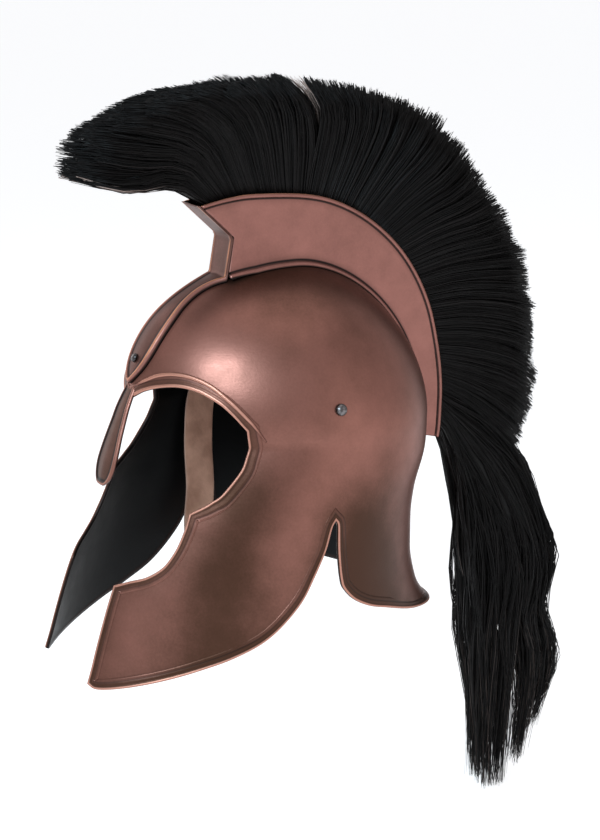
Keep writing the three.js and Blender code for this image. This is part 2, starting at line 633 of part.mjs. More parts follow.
function crestSolid() {
  const side = CREST_WIDTH / 2;
  const seat = BOX_SEAT;
  const frontEdge = CREST_FRONT.map(({ angle, radius }) => {
    const [y, z] = polar(angle, radius * CREST_RADIUS);
    return [y + CLEARANCE, z];
  });
  const startAngle = CREST_FRONT[0].angle + 0.8;
  const angles = Array.from({ length: CREST_STEPS + 1 },
    (_, i) => THREE.MathUtils.lerp(startAngle, CREST_BACK_ANGLE, i / CREST_STEPS));
  const bottom = angles.map((angle) => polar(angle, seatRadius(side, angle, seat)));
  const topAngles = angles.map(
    (_, i) => THREE.MathUtils.lerp(CREST_TOP[0].angle, CREST_BACK_ANGLE, i / CREST_STEPS));
  const top = topAngles.map((angle) => polar(angle, crestTop(angle)));
  const plateOutline = [...bottom, ...top.reverse(), frontEdge[1]];
  plateOutline[2 * angles.length - 1][0] += CLEARANCE;
  const plate = slab(plateOutline, side - CREST_SHEET, side);
  const barAlong = (list, section) => barThrough(list.map(section));
  const floor = barAlong(angles, (angle) => {
    const under = Math.max(seatRadius(0, angle, seat), seatRadius(side, angle, seat));
    const at = (x, radius) => new THREE.Vector3(x, ...polar(angle, radius));
    const half = side - CREST_TUCK;
    return [at(-half, under), at(half, under), at(half, under + CREST_SHEET), at(-half, under + CREST_SHEET)];
  });
  const foot = barAlong(angles, (angle) => {
    const narrowing = THREE.MathUtils.lerp(1, 0.3, THREE.MathUtils.smoothstep(angle, 40, CREST_BACK_ANGLE));
    const out = side + CREST_FOOT * narrowing;
    const inner = lanePoint(side - CREST_TUCK, angle * degrees, seat);
    const outer = lanePoint(out, angle * degrees, seat);
    const up = lanePoint(side, angle * degrees, 1).sub(lanePoint(side, angle * degrees)).normalize();
    const above = (point, lift) => point.clone().addScaledVector(up, lift);
    return [inner, outer, above(outer, CREST_BEAD * 0.7), above(inner, CREST_BEAD)];
  });
  const bead = barAlong(topAngles, (angle) => {
    const radius = crestTop(angle);
    const at = (x, r) => new THREE.Vector3(x, ...polar(angle, r));
    const out = side + CREST_BEAD_PROUD;
    return [at(side - CREST_SHEET, radius - CREST_BEAD), at(out, radius - CREST_BEAD * 0.8),
      at(out, radius + CREST_BEAD / 8), at(side - CREST_SHEET, radius + CREST_BEAD / 4)];
  });
  const endTop = polar(CREST_BACK_ANGLE, crestTop(CREST_BACK_ANGLE));
  const endFoot = polar(CREST_BACK_ANGLE, seatRadius(0, CREST_BACK_ANGLE, seat));
  const upFrom = ([y, z]) => [y, z + CREST_SHEET];
  const end = slab([endFoot, endTop, upFrom(endTop), upFrom(endFoot)], CREST_TUCK - side, side - CREST_TUCK);
  const halves = [plate, foot, bead].flatMap((piece) => [toSolid(piece), toSolid(mirrored(piece))]);
  return joined([toSolid(floor), toSolid(end), ...halves]);
}

// The chin strap, one leather loop that hangs from the two side rivets.
// Drop is a share of STRAP_DROP, side of the rivets' half distance and forward is in front of them.
const STRAP_HALF = sidePlace.point.x - WALL - STRAP_STANDOFF - STRAP_THICK / 2;
const STRAP = [
  { drop: -0.06, side: 0.968, forward: -0.1 },
  { drop: 0, side: 0.998, forward: 0 },
  { drop: 0.08, side: 0.99, forward: 0.38 },
  { drop: 0.18, side: 0.991, forward: 0.76 },
  { drop: 0.4, side: 0.995, forward: 0.92 },
  { drop: 0.62, side: 0.96, forward: 0.97 },
  { drop: 0.8, side: 0.87, forward: 1 },
  { drop: 0.92, side: 0.69, forward: 1 },
  { drop: 0.985, side: 0.41, forward: 1 },
  { drop: 1, side: 0, forward: 1 },
];

function strapSolid() {
  const place = ({ drop, side, forward }, sign) => new THREE.Vector3(
    sign * side * STRAP_HALF,
    sidePlace.point.y - forward * STRAP_FORWARD,
    sidePlace.point.z - drop * STRAP_DROP,
  );
  const farSide = STRAP.slice(0, -1).reverse();
  const marks = [...STRAP.map((row) => place(row, 1)), ...farSide.map((row) => place(row, -1))];
  const curve = new THREE.CatmullRomCurve3(marks, false, 'centripetal');
  const steps = 28;
  const across = new THREE.Vector3(0, 1, 0);
  const rings = Array.from({ length: steps + 1 }, (_, i) => {
    const middle = curve.getPointAt(i / steps);
    const along = curve.getTangentAt(i / steps);
    const wide = across.clone().projectOnPlane(along).normalize();
    const thick = along.clone().cross(wide);
    return [[-1, -1], [1, -1], [1, 1], [-1, 1]].map(([w, t]) => middle.clone()
      .addScaledVector(wide, w * STRAP_WIDTH / 2).addScaledVector(thick, t * STRAP_THICK / 2));
  });
  return toSolid(barThrough(rings)).subtract(drillFor(sidePlace)).subtract(drillFor(otherSidePlace));
}

// The plume: locks of horsehair bound to a backing strip that lies in the crest box. A row
// gives a lock's line from the crest box's top edge: root is an angle in degrees round the bowl's
// middle, low, high and tip are shares of PLUME_REACH backwards and PLUME_HEIGHT up from the root.
const PLUME = [
  { root: -18, lowBack: -0.3, lowUp: 0.19, highBack: -0.7, highUp: 0.17, tipBack: -1.09, tipUp: 0.29 },
  { root: -15, lowBack: -0.3, lowUp: 0.35, highBack: -0.7, highUp: 0.44, tipBack: -1.11, tipUp: 0.52 },
  { root: -11, lowBack: -0.24, lowUp: 0.5, highBack: -0.56, highUp: 0.72, tipBack: -0.95, tipUp: 0.77 },
  { root: -7, lowBack: -0.17, lowUp: 0.55, highBack: -0.42, highUp: 0.81, tipBack: -0.75, tipUp: 0.9 },
  { root: -3, lowBack: -0.1, lowUp: 0.5, highBack: -0.25, highUp: 0.81, tipBack: -0.49, tipUp: 0.98 },
  { root: 2, lowBack: -0.03, lowUp: 0.45, highBack: -0.09, highUp: 0.8, tipBack: -0.22, tipUp: 1.04 },
  { root: 7, lowBack: 0.07, lowUp: 0.4, highBack: 0.08, highUp: 0.76, tipBack: -0.05, tipUp: 1.03 },
  { root: 12, lowBack: 0.14, lowUp: 0.4, highBack: 0.18, highUp: 0.76, tipBack: 0.12, tipUp: 1.01 },
  { root: 18, lowBack: 0.2, lowUp: 0.38, highBack: 0.3, highUp: 0.73, tipBack: 0.33, tipUp: 0.99 },
  { root: 24, lowBack: 0.26, lowUp: 0.32, highBack: 0.43, highUp: 0.62, tipBack: 0.56, tipUp: 0.92 },
  { root: 31, lowBack: 0.3, lowUp: 0.22, highBack: 0.56, highUp: 0.44, tipBack: 0.74, tipUp: 0.69 },
  { root: 38, lowBack: 0.34, lowUp: 0.12, highBack: 0.63, highUp: 0.25, tipBack: 0.87, tipUp: 0.41 },
  { root: 46, lowBack: 0.36, lowUp: 0.04, highBack: 0.69, highUp: 0.09, tipBack: 0.99, tipUp: 0.12 },
  { root: 54, lowBack: 0.36, lowUp: -0.02, highBack: 0.72, highUp: -0.04, tipBack: 1.02, tipUp: -0.1 },
  { root: 62, lowBack: 0.35, lowUp: -0.06, highBack: 0.69, highUp: -0.14, tipBack: 0.98, tipUp: -0.3 },
  { root: 70, lowBack: 0.34, lowUp: -0.12, highBack: 0.66, highUp: -0.24, tipBack: 0.96, tipUp: -0.46 },
  { root: 77, lowBack: 0.32, lowUp: -0.2, highBack: 0.62, highUp: -0.36, tipBack: 0.91, tipUp: -0.65 },
  { root: 81.5, lowBack: 0.28, lowUp: -0.24, highBack: 0.55, highUp: -0.46, tipBack: 0.82, tipUp: -0.73 },
];

// The tail that hangs behind the neck: each row is one lock's line from root to tip, as shares of
// PLUME_REACH backwards and TAIL_DROP down from the crest box's lower end.
const TAIL = [
  {
    root: 85.5,
    line: [[0.06, -0.09], [0.42, -0.018], [0.74, 0.085], [0.99, 0.24],
      [1.14, 0.38], [1.04, 0.51], [1.22, 0.665], [1.05, 0.85]],
  },
  {
    root: 87.5,
    line: [[0.05, -0.082], [0.36, 0.01], [0.66, 0.13], [0.89, 0.27],
      [1, 0.4], [0.93, 0.53], [1.07, 0.68], [0.95, 0.93]],
  },
  {
    root: 89.8,
    line: [[0.045, -0.08], [0.31, 0.02], [0.59, 0.155], [0.79, 0.28],
      [0.88, 0.4], [0.82, 0.54], [0.92, 0.69], [0.85, 0.98]],
  },
  {
    root: 92,
    line: [[0.045, -0.068], [0.27, 0.035], [0.5, 0.165], [0.67, 0.285],
      [0.73, 0.41], [0.69, 0.55], [0.76, 0.7], [0.72, 1.02]],
  },
  {
    root: 94.5,
    line: [[0.04, -0.052], [0.23, 0.05], [0.41, 0.175], [0.52, 0.3],
      [0.55, 0.42], [0.54, 0.56], [0.59, 0.72], [0.61, 1.02]],
  },
  {
    root: 97,
    line: [[0.04, -0.034], [0.2, 0.06], [0.3, 0.19], [0.34, 0.32],
      [0.38, 0.44], [0.4, 0.57], [0.46, 0.74], [0.51, 0.98]],
  },
];

const PLUME_ROOT_HALF = 10.5;
const PLUME_TIP_HALF = 18.5;
const TAIL_HALF = 17;
const LOCK_STEPS = 6;
const TAIL_STEPS = 8;
const BACKING_FILL = 0.66;
const BACKING_GRIP = 4;

// The backing strip lies on the crest box's floor and fills a share of the box's depth.
function backingSeat(angle) {
  const bowl = Math.max(seatRadius(0, angle, BOX_SEAT), seatRadius(CREST_WIDTH / 2, angle, BOX_SEAT));
  return bowl + CREST_SHEET + CLEARANCE;
}

const backingTop = (angle) => THREE.MathUtils.lerp(backingSeat(angle), crestTop(angle), BACKING_FILL);
const lockRoot = (angle) => polar(angle, backingTop(angle) - BACKING_GRIP);

// The line of one lock as [y, z] points, starting at the backing strip.
function crestLine(row) {
  const [rootY, rootZ] = polar(row.root, crestTop(row.root));
  const [startY, startZ] = lockRoot(row.root);
  const at = (back, up) => new THREE.Vector3(0, rootY + back * PLUME_REACH, rootZ + up * PLUME_HEIGHT);
  return new THREE.CatmullRomCurve3([
    new THREE.Vector3(0, startY, startZ),
    at(row.lowBack, row.lowUp), at(row.highBack, row.highUp), at(row.tipBack, row.tipUp),
  ], false, 'centripetal');
}

function tailLine(row) {
  const [endY, endZ] = polar(CREST_BACK_ANGLE, crestTop(CREST_BACK_ANGLE));
  const [startY, startZ] = lockRoot(row.root);
  return new THREE.CatmullRomCurve3([new THREE.Vector3(0, startY, startZ),
    ...row.line.map(([back, down]) => new THREE.Vector3(
      0, endY + back * PLUME_REACH, endZ - down * TAIL_DROP)),
  ], false, 'centripetal');
}

// One lock: a leaf that is broad where it leaves the box and runs out to a thin tip. It reaches
// towards the lines before and after it by a share of the way to each.
function lockBody(line, before, after, reach, spread, steps) {
  const rings = Array.from({ length: steps + 1 }, (_, i) => {
    const t = i / steps;
    const middle = line.getPoint(t);
    const taper = 1 - 0.8 * THREE.MathUtils.smoothstep(t, 0.78, 1);
    const front = middle.clone().lerp(before.getPoint(t), reach[0] * taper);
    const back = middle.clone().lerp(after.getPoint(t), reach[1] * taper);
    const opened = THREE.MathUtils.smoothstep(t, 0.12, 0.7);
    const half = THREE.MathUtils.lerp(PLUME_ROOT_HALF, spread, opened) * taper;
    const at = (p, q, x) => p.clone().lerp(q, 0.5).setX(x);
    return [front, at(middle, front, half), at(middle, back, half),
      back, at(middle, back, -half), at(middle, front, -half)];
  });
  return toSolid(barThrough(rings));
}

// The line that would come next past the end of a run of lock lines.
function lineBeyond(line, neighbour) {
  const points = line.points.map((p, k) => p.clone().multiplyScalar(2).sub(neighbour.points[k]));
  return new THREE.CatmullRomCurve3(points, false, 'centripetal');
}

function backingBody(fromAngle, toAngle) {
  const steps = Math.max(Math.round((toAngle - fromAngle) / 4), 3);
  return barThrough(Array.from({ length: steps + 1 }, (_, i) => {
    const angle = THREE.MathUtils.lerp(fromAngle, toAngle, i / steps);
    const low = backingSeat(angle);
    const top = backingTop(angle);
    const half = CREST_WIDTH / 2 - CREST_SHEET - CLEARANCE;
    return [[-half, low], [half, low], [half, top], [-half, top]]
      .map(([x, radius]) => new THREE.Vector3(x, ...polar(angle, radius)));
  }));
}

// Neighbouring locks of one hank grow into each other; between two hanks a thin parting stays.
const GROWN_TOGETHER = 0.56;
const PARTED = 0.38;

function hankSolid(lines, [first, last], spread, steps, [fromAngle, toAngle]) {
  const locks = [];
  for (let i = first; i <= last; i += 1) {
    const before = lines[i - 1] ?? lineBeyond(lines[i], lines[i + 1]);
    const after = lines[i + 1] ?? lineBeyond(lines[i], lines[i - 1]);
    const reach = [i === first ? PARTED : GROWN_TOGETHER, i === last ? PARTED : GROWN_TOGETHER];
    locks.push(lockBody(lines[i], before, after, reach, spread, steps));
  }
  return joined([toSolid(backingBody(fromAngle, toAngle)), ...locks]);
}

// The plume's hanks, each with its locks' first and last row and its stretch of the backing.
const crestLines = PLUME.map(crestLine);
const tailLines = TAIL.map(tailLine);
const PARTING_ANGLE = CLEARANCE / CREST_RADIUS / degrees;
const rootBetween = (i) => (PLUME[i].root + PLUME[i + 1].root) / 2;
const TAIL_PARTING = 0.74;
const TAIL_START = THREE.MathUtils.lerp(PLUME[PLUME.length - 1].root, TAIL[0].root, TAIL_PARTING);
const HANKS = [
  { name: 'plume_front', rows: [0, 4], from: -14, to: rootBetween(4) },
  { name: 'plume_crown', rows: [5, 9], from: rootBetween(4), to: rootBetween(9) },
  { name: 'plume_back', rows: [10, 13], from: rootBetween(9), to: rootBetween(13) },
  { name: 'plume_nape', rows: [14, 17], from: rootBetween(13), to: TAIL_START },
];

// The helmet put together

const helmet = new THREE.Group();

function addPiece(name, geometry, colour, roughness, metalness) {
  const material = new THREE.MeshStandardMaterial({ color: colour, roughness, metalness });
  const mesh = new THREE.Mesh(geometry, material);
  mesh.name = name;
  helmet.add(mesh);
}

const COPPER = 0x7d554e;
const RED_COPPER = 0x8f625a;
const STEEL = 0x7d7a7e;
const LEATHER = 0x5b453b;
const HORSEHAIR = 0x141213;

addPiece('helmet_shell', toGeometry(shellSolid()), COPPER, 0.42, 0.9);
addPiece('forehead_band', toGeometry(bandSolid()), RED_COPPER, 0.45, 0.9);
addPiece('crest_box', toGeometry(crestSolid()), RED_COPPER, 0.45, 0.9);
addPiece('forehead_rivet', toGeometry(toSolid(rivetBody(bandPlace, BAND_RIVET_HEAD,
  BAND_SEAT + BAND_SHEET + CLEARANCE, WALL + 5 * CLEARANCE))), STEEL, 0.35, 1);
addPiece('side_rivet_left', toGeometry(toSolid(rivetBody(sidePlace, SIDE_RIVET_HEAD,
  CLEARANCE, WALL + STRAP_STANDOFF + STRAP_THICK + RIVET_TILT_ROOM))), STEEL, 0.35, 1);
addPiece('side_rivet_right', toGeometry(toSolid(rivetBody(otherSidePlace, SIDE_RIVET_HEAD,
  CLEARANCE, WALL + STRAP_STANDOFF + STRAP_THICK + RIVET_TILT_ROOM))), STEEL, 0.35, 1);
addPiece('chin_strap', toGeometry(strapSolid()), LEATHER, 0.75, 0);
for (const { name, rows, from, to } of HANKS) {
  const stretch = [from + PARTING_ANGLE, to - PARTING_ANGLE];
  const hank = hankSolid(crestLines, rows, PLUME_TIP_HALF, LOCK_STEPS, stretch);
  addPiece(name, toGeometry(hank), HORSEHAIR, 0.6, 0);
}
const tailStretch = [TAIL_START + PARTING_ANGLE, TAIL[TAIL.length - 1].root];
const tail = hankSolid(tailLines, [0, TAIL.length - 1], TAIL_HALF, TAIL_STEPS, tailStretch);
addPiece('plume_tail', toGeometry(tail), HORSEHAIR, 0.6, 0);

export default helmet;
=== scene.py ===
import bpy
import numpy as np
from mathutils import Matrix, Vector


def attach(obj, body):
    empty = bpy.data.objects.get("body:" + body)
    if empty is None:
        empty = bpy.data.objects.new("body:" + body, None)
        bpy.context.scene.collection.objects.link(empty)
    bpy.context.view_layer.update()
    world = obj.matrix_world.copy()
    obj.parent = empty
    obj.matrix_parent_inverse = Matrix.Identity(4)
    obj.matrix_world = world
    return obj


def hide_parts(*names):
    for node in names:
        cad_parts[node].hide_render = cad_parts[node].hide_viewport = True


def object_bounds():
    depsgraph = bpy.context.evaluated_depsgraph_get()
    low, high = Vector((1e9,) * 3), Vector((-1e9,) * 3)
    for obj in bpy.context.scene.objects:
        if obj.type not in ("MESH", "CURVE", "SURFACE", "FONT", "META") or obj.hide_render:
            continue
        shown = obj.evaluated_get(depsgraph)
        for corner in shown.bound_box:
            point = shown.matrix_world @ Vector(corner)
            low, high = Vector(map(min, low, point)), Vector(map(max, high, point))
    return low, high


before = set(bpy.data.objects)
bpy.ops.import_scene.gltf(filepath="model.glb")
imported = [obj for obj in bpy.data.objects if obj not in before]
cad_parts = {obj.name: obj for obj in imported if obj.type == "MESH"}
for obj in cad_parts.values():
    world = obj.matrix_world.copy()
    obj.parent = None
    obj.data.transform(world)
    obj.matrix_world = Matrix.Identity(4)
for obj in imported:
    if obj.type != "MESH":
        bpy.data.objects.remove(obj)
cad_box = [list(corner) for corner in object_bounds()]

# Camera: it stands to the wearer's left, a little in front and above, and looks at the middle of
# the helmet. A long lens keeps the near and the far cheek guard almost the same size.
CAMERA_PLACE = Vector((1.1827, -0.6427, 0.2444))
CAMERA_AIM = Vector((0.0, 0.0129, -0.1179))
lens = bpy.data.cameras.new("camera")
lens.lens = 82.2
lens.sensor_width = 36.0
lens.clip_end = 200.0
camera = bpy.data.objects.new("camera", lens)
camera.location = CAMERA_PLACE
camera.rotation_euler = (CAMERA_AIM - CAMERA_PLACE).to_track_quat("-Z", "Y").to_euler()
bpy.context.collection.objects.link(camera)
bpy.context.scene.camera = camera


# Studio: a plain pale floor just under the tips of the plume, a pale room, one softbox in front of
# the brow that gives the bowl its pink highlight, and weaker ones above and behind.
class Value:
    """A number in a shader. Arithmetic on it adds the Math nodes that work it out."""

    def __init__(self, finish, socket):
        self.finish = finish
        self.socket = socket

    def maths(self, operation, *values):
        return self.finish.node("Math", {"operation": operation}, dict(enumerate(values)))

    def __add__(self, other):
        return self.maths("ADD", self, other)

    def __sub__(self, other):
        return self.maths("SUBTRACT", self, other)

    def __mul__(self, other):
        return self.maths("MULTIPLY", self, other)

    __radd__ = __add__

    def eased(self, low, high):
        """Nought below one value, one above another, and an S-shaped way between them."""
        return self.finish.node("MapRange", {"interpolation_type": "SMOOTHSTEP"},
                                {"Value": self, "From Min": low, "From Max": high})


class Finish:
    """A material, whose node method adds any shader node and hands back one of its outputs."""

    def __init__(self, name, roughness, metallic=0.0, specular=0.5):
        self.material = bpy.data.materials.new(name)
        self.material.use_nodes = True
        self.tree = self.material.node_tree
        self.surface = self.tree.nodes["Principled BSDF"]
        self.surface.inputs["Roughness"].default_value = roughness
        self.surface.inputs["Metallic"].default_value = metallic
        self.surface.inputs["Specular IOR Level"].default_value = specular
        self.place = self.node("TexCoord", {}, {}, "Object")

    def node(self, kind, settings, sockets, output=0):
        added = self.tree.nodes.new("ShaderNode" + kind)
        for name, value in settings.items():
            setattr(added, name, value)
        for socket, value in sockets.items():
            self.connect(value, added.inputs[socket])
        return Value(self, added.outputs[output])

    def connect(self, value, target):
        if isinstance(value, Value):
            self.tree.links.new(value.socket, target)
        else:
            target.default_value = value

    def wear(self, name):
        """A number that the mesh carries at each of its points."""
        return self.node("Attribute", {"attribute_name": name}, {}, "Fac")

    def noise(self, scale, detail, stretch=(1, 1, 1)):
        place = self.node("Mapping", {}, {"Vector": self.place, "Scale": stretch})
        return self.node("TexNoise", {}, {"Vector": place, "Scale": scale, "Detail": detail})

    def blend(self, amount, first, second):
        first, second = ((*c, 1) if isinstance(c, tuple) else c for c in (first, second))
        return self.node("Mix", {"data_type": "RGBA"}, {0: amount, 6: first, 7: second}, 2)

    def relief(self, height, depth, strength):
        bump = self.node("Bump", {}, {"Height": height, "Distance": depth, "Strength": strength})
        self.connect(bump, self.surface.inputs["Normal"])

    def paint(self, colour):
        self.connect(colour, self.surface.inputs["Base Color"])

    def gloss(self, roughness):
        self.connect(roughness, self.surface.inputs["Roughness"])


def softbox(name, place, aim, size, power, colour=(1, 1, 1)):
    light = bpy.data.lights.new(name, "AREA")
    light.shape = "RECTANGLE"
    light.size, light.size_y = size
    light.energy = power
    light.color = colour
    box = bpy.data.objects.new(name, light)
    box.location = place
    box.rotation_euler = (Vector(aim) - Vector(place)).to_track_quat("-Z", "Y").to_euler()
    bpy.context.collection.objects.link(box)


softbox("key_light", (0.95, -1.15, 0.78), (0, 0, -0.08), (0.5, 0.42), 21, (0.66, 0.87, 1))
softbox("top_light", (0.3, 0.2, 1.9), (0, 0, -0.1), (1.6, 1.6), 6)
softbox("side_light", (1.7, 0.9, 0.2), (0, 0, -0.15), (1.2, 1.6), 3, (0.97, 0.98, 1))
softbox("far_light", (-1.5, -0.9, 0.6), (0, 0, -0.15), (1.0, 1.4), 7)

room = bpy.data.worlds.new("room")
room.use_nodes = True
room.node_tree.nodes["Background"].inputs["Color"].default_value = (0.97, 0.98, 1.0, 1)
room.node_tree.nodes["Background"].inputs["Strength"].default_value = 0.6
bpy.context.scene.world = room
bpy.context.scene.view_settings.view_transform = "Standard"

FLOOR_DROP = 0.012
FLOOR_HALF = 40.0
floor_height = cad_box[0][2] - FLOOR_DROP
floor_mesh = bpy.data.meshes.new("floor")
floor_mesh.from_pydata([(x * FLOOR_HALF, y * FLOOR_HALF, floor_height)
                        for x, y in ((-1, -1), (1, -1), (1, 1), (-1, 1))], [], [(0, 1, 2, 3)])
floor_paint = Finish("floor_paint", 0.9, specular=0.1)
floor_paint.paint((0.93, 0.93, 0.94, 1))
floor_paint.surface.inputs["Emission Color"].default_value = (1, 1, 1, 1)
floor_paint.surface.inputs["Emission Strength"].default_value = 0.42
floor_mesh.materials.append(floor_paint.material)
floor = bpy.data.objects.new("floor", floor_mesh)
bpy.context.collection.objects.link(floor)

# Shell: the bowl, its cheek guards and its neck guard are one hammered sheet of copper, 1.6 mm
# thick. Outside it is antiqued and polished back, and inside it is left black from the fire.
MM = 0.001
WALL = 1.6 * MM
BOWL_WIDTH = 196 * MM
BOWL_FRONT = 125 * MM
BOWL_BACK = 104.5 * MM
BOWL_RISE = 110.7 * MM
SKIRT_DROP = 174 * MM
CHEEK_DROP = 276.5 * MM
CROWN = WALL
EQUATOR = CROWN - BOWL_RISE
FRONT_SQUARENESS, SIDE_SQUARENESS, BACK_SQUARENESS = 2.31, 1.9, 1.81
# Columns: drop as a share of SKIRT_DROP, then the reach to the front, the back and the side, the
# place where it is widest, and the squareness of each section's front and back half.
SKIRT = np.array([
    (0, 1, 1, 1, -0.037, 1.69, 2.09),
    (0.146, 1.045, 0.994, 1.006, -0.105, 1.86, 2.09),
    (0.315, 1.129, 0.918, 1.01, -0.177, 2, 2.05),
    (0.446, 1.225, 0.891, 1.012, -0.209, 2, 2.05),
    (0.58, 1.317, 0.891, 1.013, -0.217, 2, 2.05),
    (0.695, 1.381, 0.923, 1.014, -0.217, 2, 2.05),
    (0.793, 1.429, 0.983, 1.018, -0.217, 2, 2.05),
    (0.882, 1.469, 1.096, 1.031, -0.217, 2, 2.05),
    (1, 1.529, 1.272, 1.051, -0.217, 2, 2.05),
])


def read(table, column, at):
    """A smooth curve through one column of a table: cubics whose slope at each row is the mean of
    the slopes before and after it, or nought where those point opposite ways."""
    keys, values = table[:, 0], table[:, column]
    slopes = np.diff(values) / np.diff(keys)
    inner = np.where(slopes[:-1] * slopes[1:] > 0, (slopes[:-1] + slopes[1:]) / 2, 0)
    knots = np.concatenate([slopes[:1], inner, slopes[-1:]])
    at = np.clip(at, keys[0], keys[-1])
    i = np.clip(np.searchsorted(keys, at, side="right") - 1, 0, len(keys) - 2)
    step = keys[i + 1] - keys[i]
    t = (at - keys[i]) / step
    s = 1 - t
    return (values[i] * s * s * (1 + 2 * t) + values[i + 1] * t * t * (1 + 2 * s)
            + step * t * s * (knots[i] * s - knots[i + 1] * t))


def eased(value, low, high):
    """Nought below one value, one above another, with a cubic S between them."""
    t = np.clip((value - low) / (high - low), 0, 1)
    return t * t * (3 - 2 * t)


def unit(vectors):
    return vectors / np.maximum(np.linalg.norm(vectors, axis=-1, keepdims=True), 1e-12)


def dome_squareness(ahead):
    towards = np.where(ahead > 0, FRONT_SQUARENESS, BACK_SQUARENESS)
    return SIDE_SQUARENESS + (towards - SIDE_SQUARENESS) * ahead ** 2


def shell(turn, row):
    """The sheet's outer face. The turn goes round from the front, and the row is nought at the
    crown, one where the bowl is widest and two at the skirt's foot. Both the level sections and
    the dome's upright ones are superellipses: a sine and a cosine, each to its own power."""
    ahead, aside = np.cos(turn), np.sin(turn)
    drop = np.maximum(row - 1, 0)
    front, back, side, widest, front_square, back_square = (
        read(SKIRT, column, drop) for column in range(1, 7))
    squareness = dome_squareness(ahead)
    slant = np.minimum(row, 1) * np.pi / 2
    spread = np.sin(slant) ** (2 / squareness)
    rise = np.maximum(np.cos(slant), 0) ** (2 / squareness)
    bend = 2 / np.where(ahead > 0, front_square, back_square)
    middle = widest * BOWL_FRONT
    reach = np.where(ahead > 0, front * BOWL_FRONT + middle, back * BOWL_BACK - middle)
    x = side * BOWL_WIDTH / 2 * spread * np.sign(aside) * np.abs(aside) ** bend
    y = spread * (middle - reach * np.sign(ahead) * np.abs(ahead) ** bend)
    z = np.where(row < 1, EQUATOR + BOWL_RISE * rise, EQUATOR - drop * SKIRT_DROP)
    return np.stack([x, y, z], axis=-1)


def shell_normal(turn, row):
    """The outward direction, from short steps round and down the sheet."""
    wide, tall = 0.006, 0.004
    at = np.maximum(row, 2 * tall)
    across = shell(turn + wide, at) - shell(turn - wide, at)
    along = shell(turn, at + tall) - shell(turn, at - tall)
    return unit(np.cross(along, across))


def row_at_height(turn, height):
    rise = np.clip((height - EQUATOR) / BOWL_RISE, 0, 1)
    on_dome = np.arccos(rise ** (dome_squareness(np.cos(turn)) / 2)) / (np.pi / 2)
    return np.where(height <= EQUATOR, 1 + (EQUATOR - height) / SKIRT_DROP, on_dome)


def through(marks, t):
    """Curves through rows of marks, at shares t of their stretches. Each stretch is a cubic whose
    end slopes come from three marks, spaced by the root of the distance between them."""
    before = 2 * marks[..., :1, :] - marks[..., 1:2, :]
    after = 2 * marks[..., -1:, :] - marks[..., -2:-1, :]
    p = np.concatenate([before, marks, after], axis=-2)
    gap = np.maximum(np.linalg.norm(np.diff(p, axis=-2), axis=-1, keepdims=True), 1e-9) ** 0.5
    stretches = marks.shape[-2] - 1
    place = np.clip(t, 0, 1) * stretches
    i = np.minimum(place.astype(int), stretches - 1)
    u = (place - i)[:, None]
    p0, p1, p2, p3 = (p[..., i + k, :] for k in range(4))
    g0, g1, g2 = (gap[..., i + k, :] for k in range(3))
    start = g1 * ((p1 - p0) / g0 - (p2 - p0) / (g0 + g1) + (p2 - p1) / g1)
    end = g1 * ((p2 - p1) / g1 - (p3 - p1) / (g1 + g2) + (p3 - p2) / g2)
    v = 1 - u
    return p1 * v * v * (1 + 2 * u) + p2 * u * u * (1 + 2 * v) + u * v * (start * v - end * u)


def evenly(line, places):
    """A line's points at given shares of its length."""
    steps = np.linalg.norm(np.diff(line, axis=0), axis=1)
    length = np.concatenate([[0], np.cumsum(steps)])
    return np.stack([np.interp(places * length[-1], length, column) for column in line.T], axis=1)


# Edge of the wearer's left half. Columns: turn in degrees, drop as a share of CHEEK_DROP and the
# rolled edge's width as a share of ROLL_WIDTH.
ROLL_WIDTH = 3.2 * MM
EDGE = {
    "brow": [(0, 0.308, 1.2), (4.4, 0.304, 1.2), (12.9, 0.281, 1.2), (20.9, 0.266, 1.2), (29.6, 0.26, 1.2),
             (36.8, 0.269, 1.2), (43.3, 0.29, 1.2), (48.4, 0.318, 1.3), (53.6, 0.358, 1.4)],
    "eye": [(53.6, 0.358, 1.4), (54.3, 0.42, 1.8), (53.8, 0.459, 1.9), (51.3, 0.498, 1.9), (47.3, 0.531, 1.6),
            (40.9, 0.56, 1.1)],
    "mouth": [(40.9, 0.56, 1.1), (41, 0.6, 1), (40.2, 0.658, 0.9), (38.5, 0.688, 0.9), (34, 0.716, 0.9),
              (27.2, 0.734, 0.9), (21.9, 0.749, 0.9)],
    "front": [(21.9, 0.749, 0.9), (22.3, 0.87, 0.9), (22.2, 0.99, 0.9)],
    "cheek": [(22.2, 0.99, 0.9), (26, 0.998, 1), (35.9, 0.986, 1.1), (47.7, 0.963, 1.1), (57.1, 0.94, 1.1),
              (66.3, 0.914, 1.1), (75.9, 0.87, 1), (83.5, 0.802, 1), (88.2, 0.732, 0.9), (91.6, 0.665, 0.8),
              (92.6, 0.61, 0.7), (93.5, 0.592, 0.6)],
    "nape": [(93.5, 0.592, 0.6), (95, 0.607, 0.7), (97.2, 0.698, 0.9), (98.2, 0.747, 0.9), (99.9, 0.782, 1),
             (103.5, 0.812, 1), (110, 0.842, 1), (119.4, 0.868, 1), (133.5, 0.905, 1), (145.5, 0.927, 1),
             (162, 0.949, 1), (180, 0.957, 1)],
}


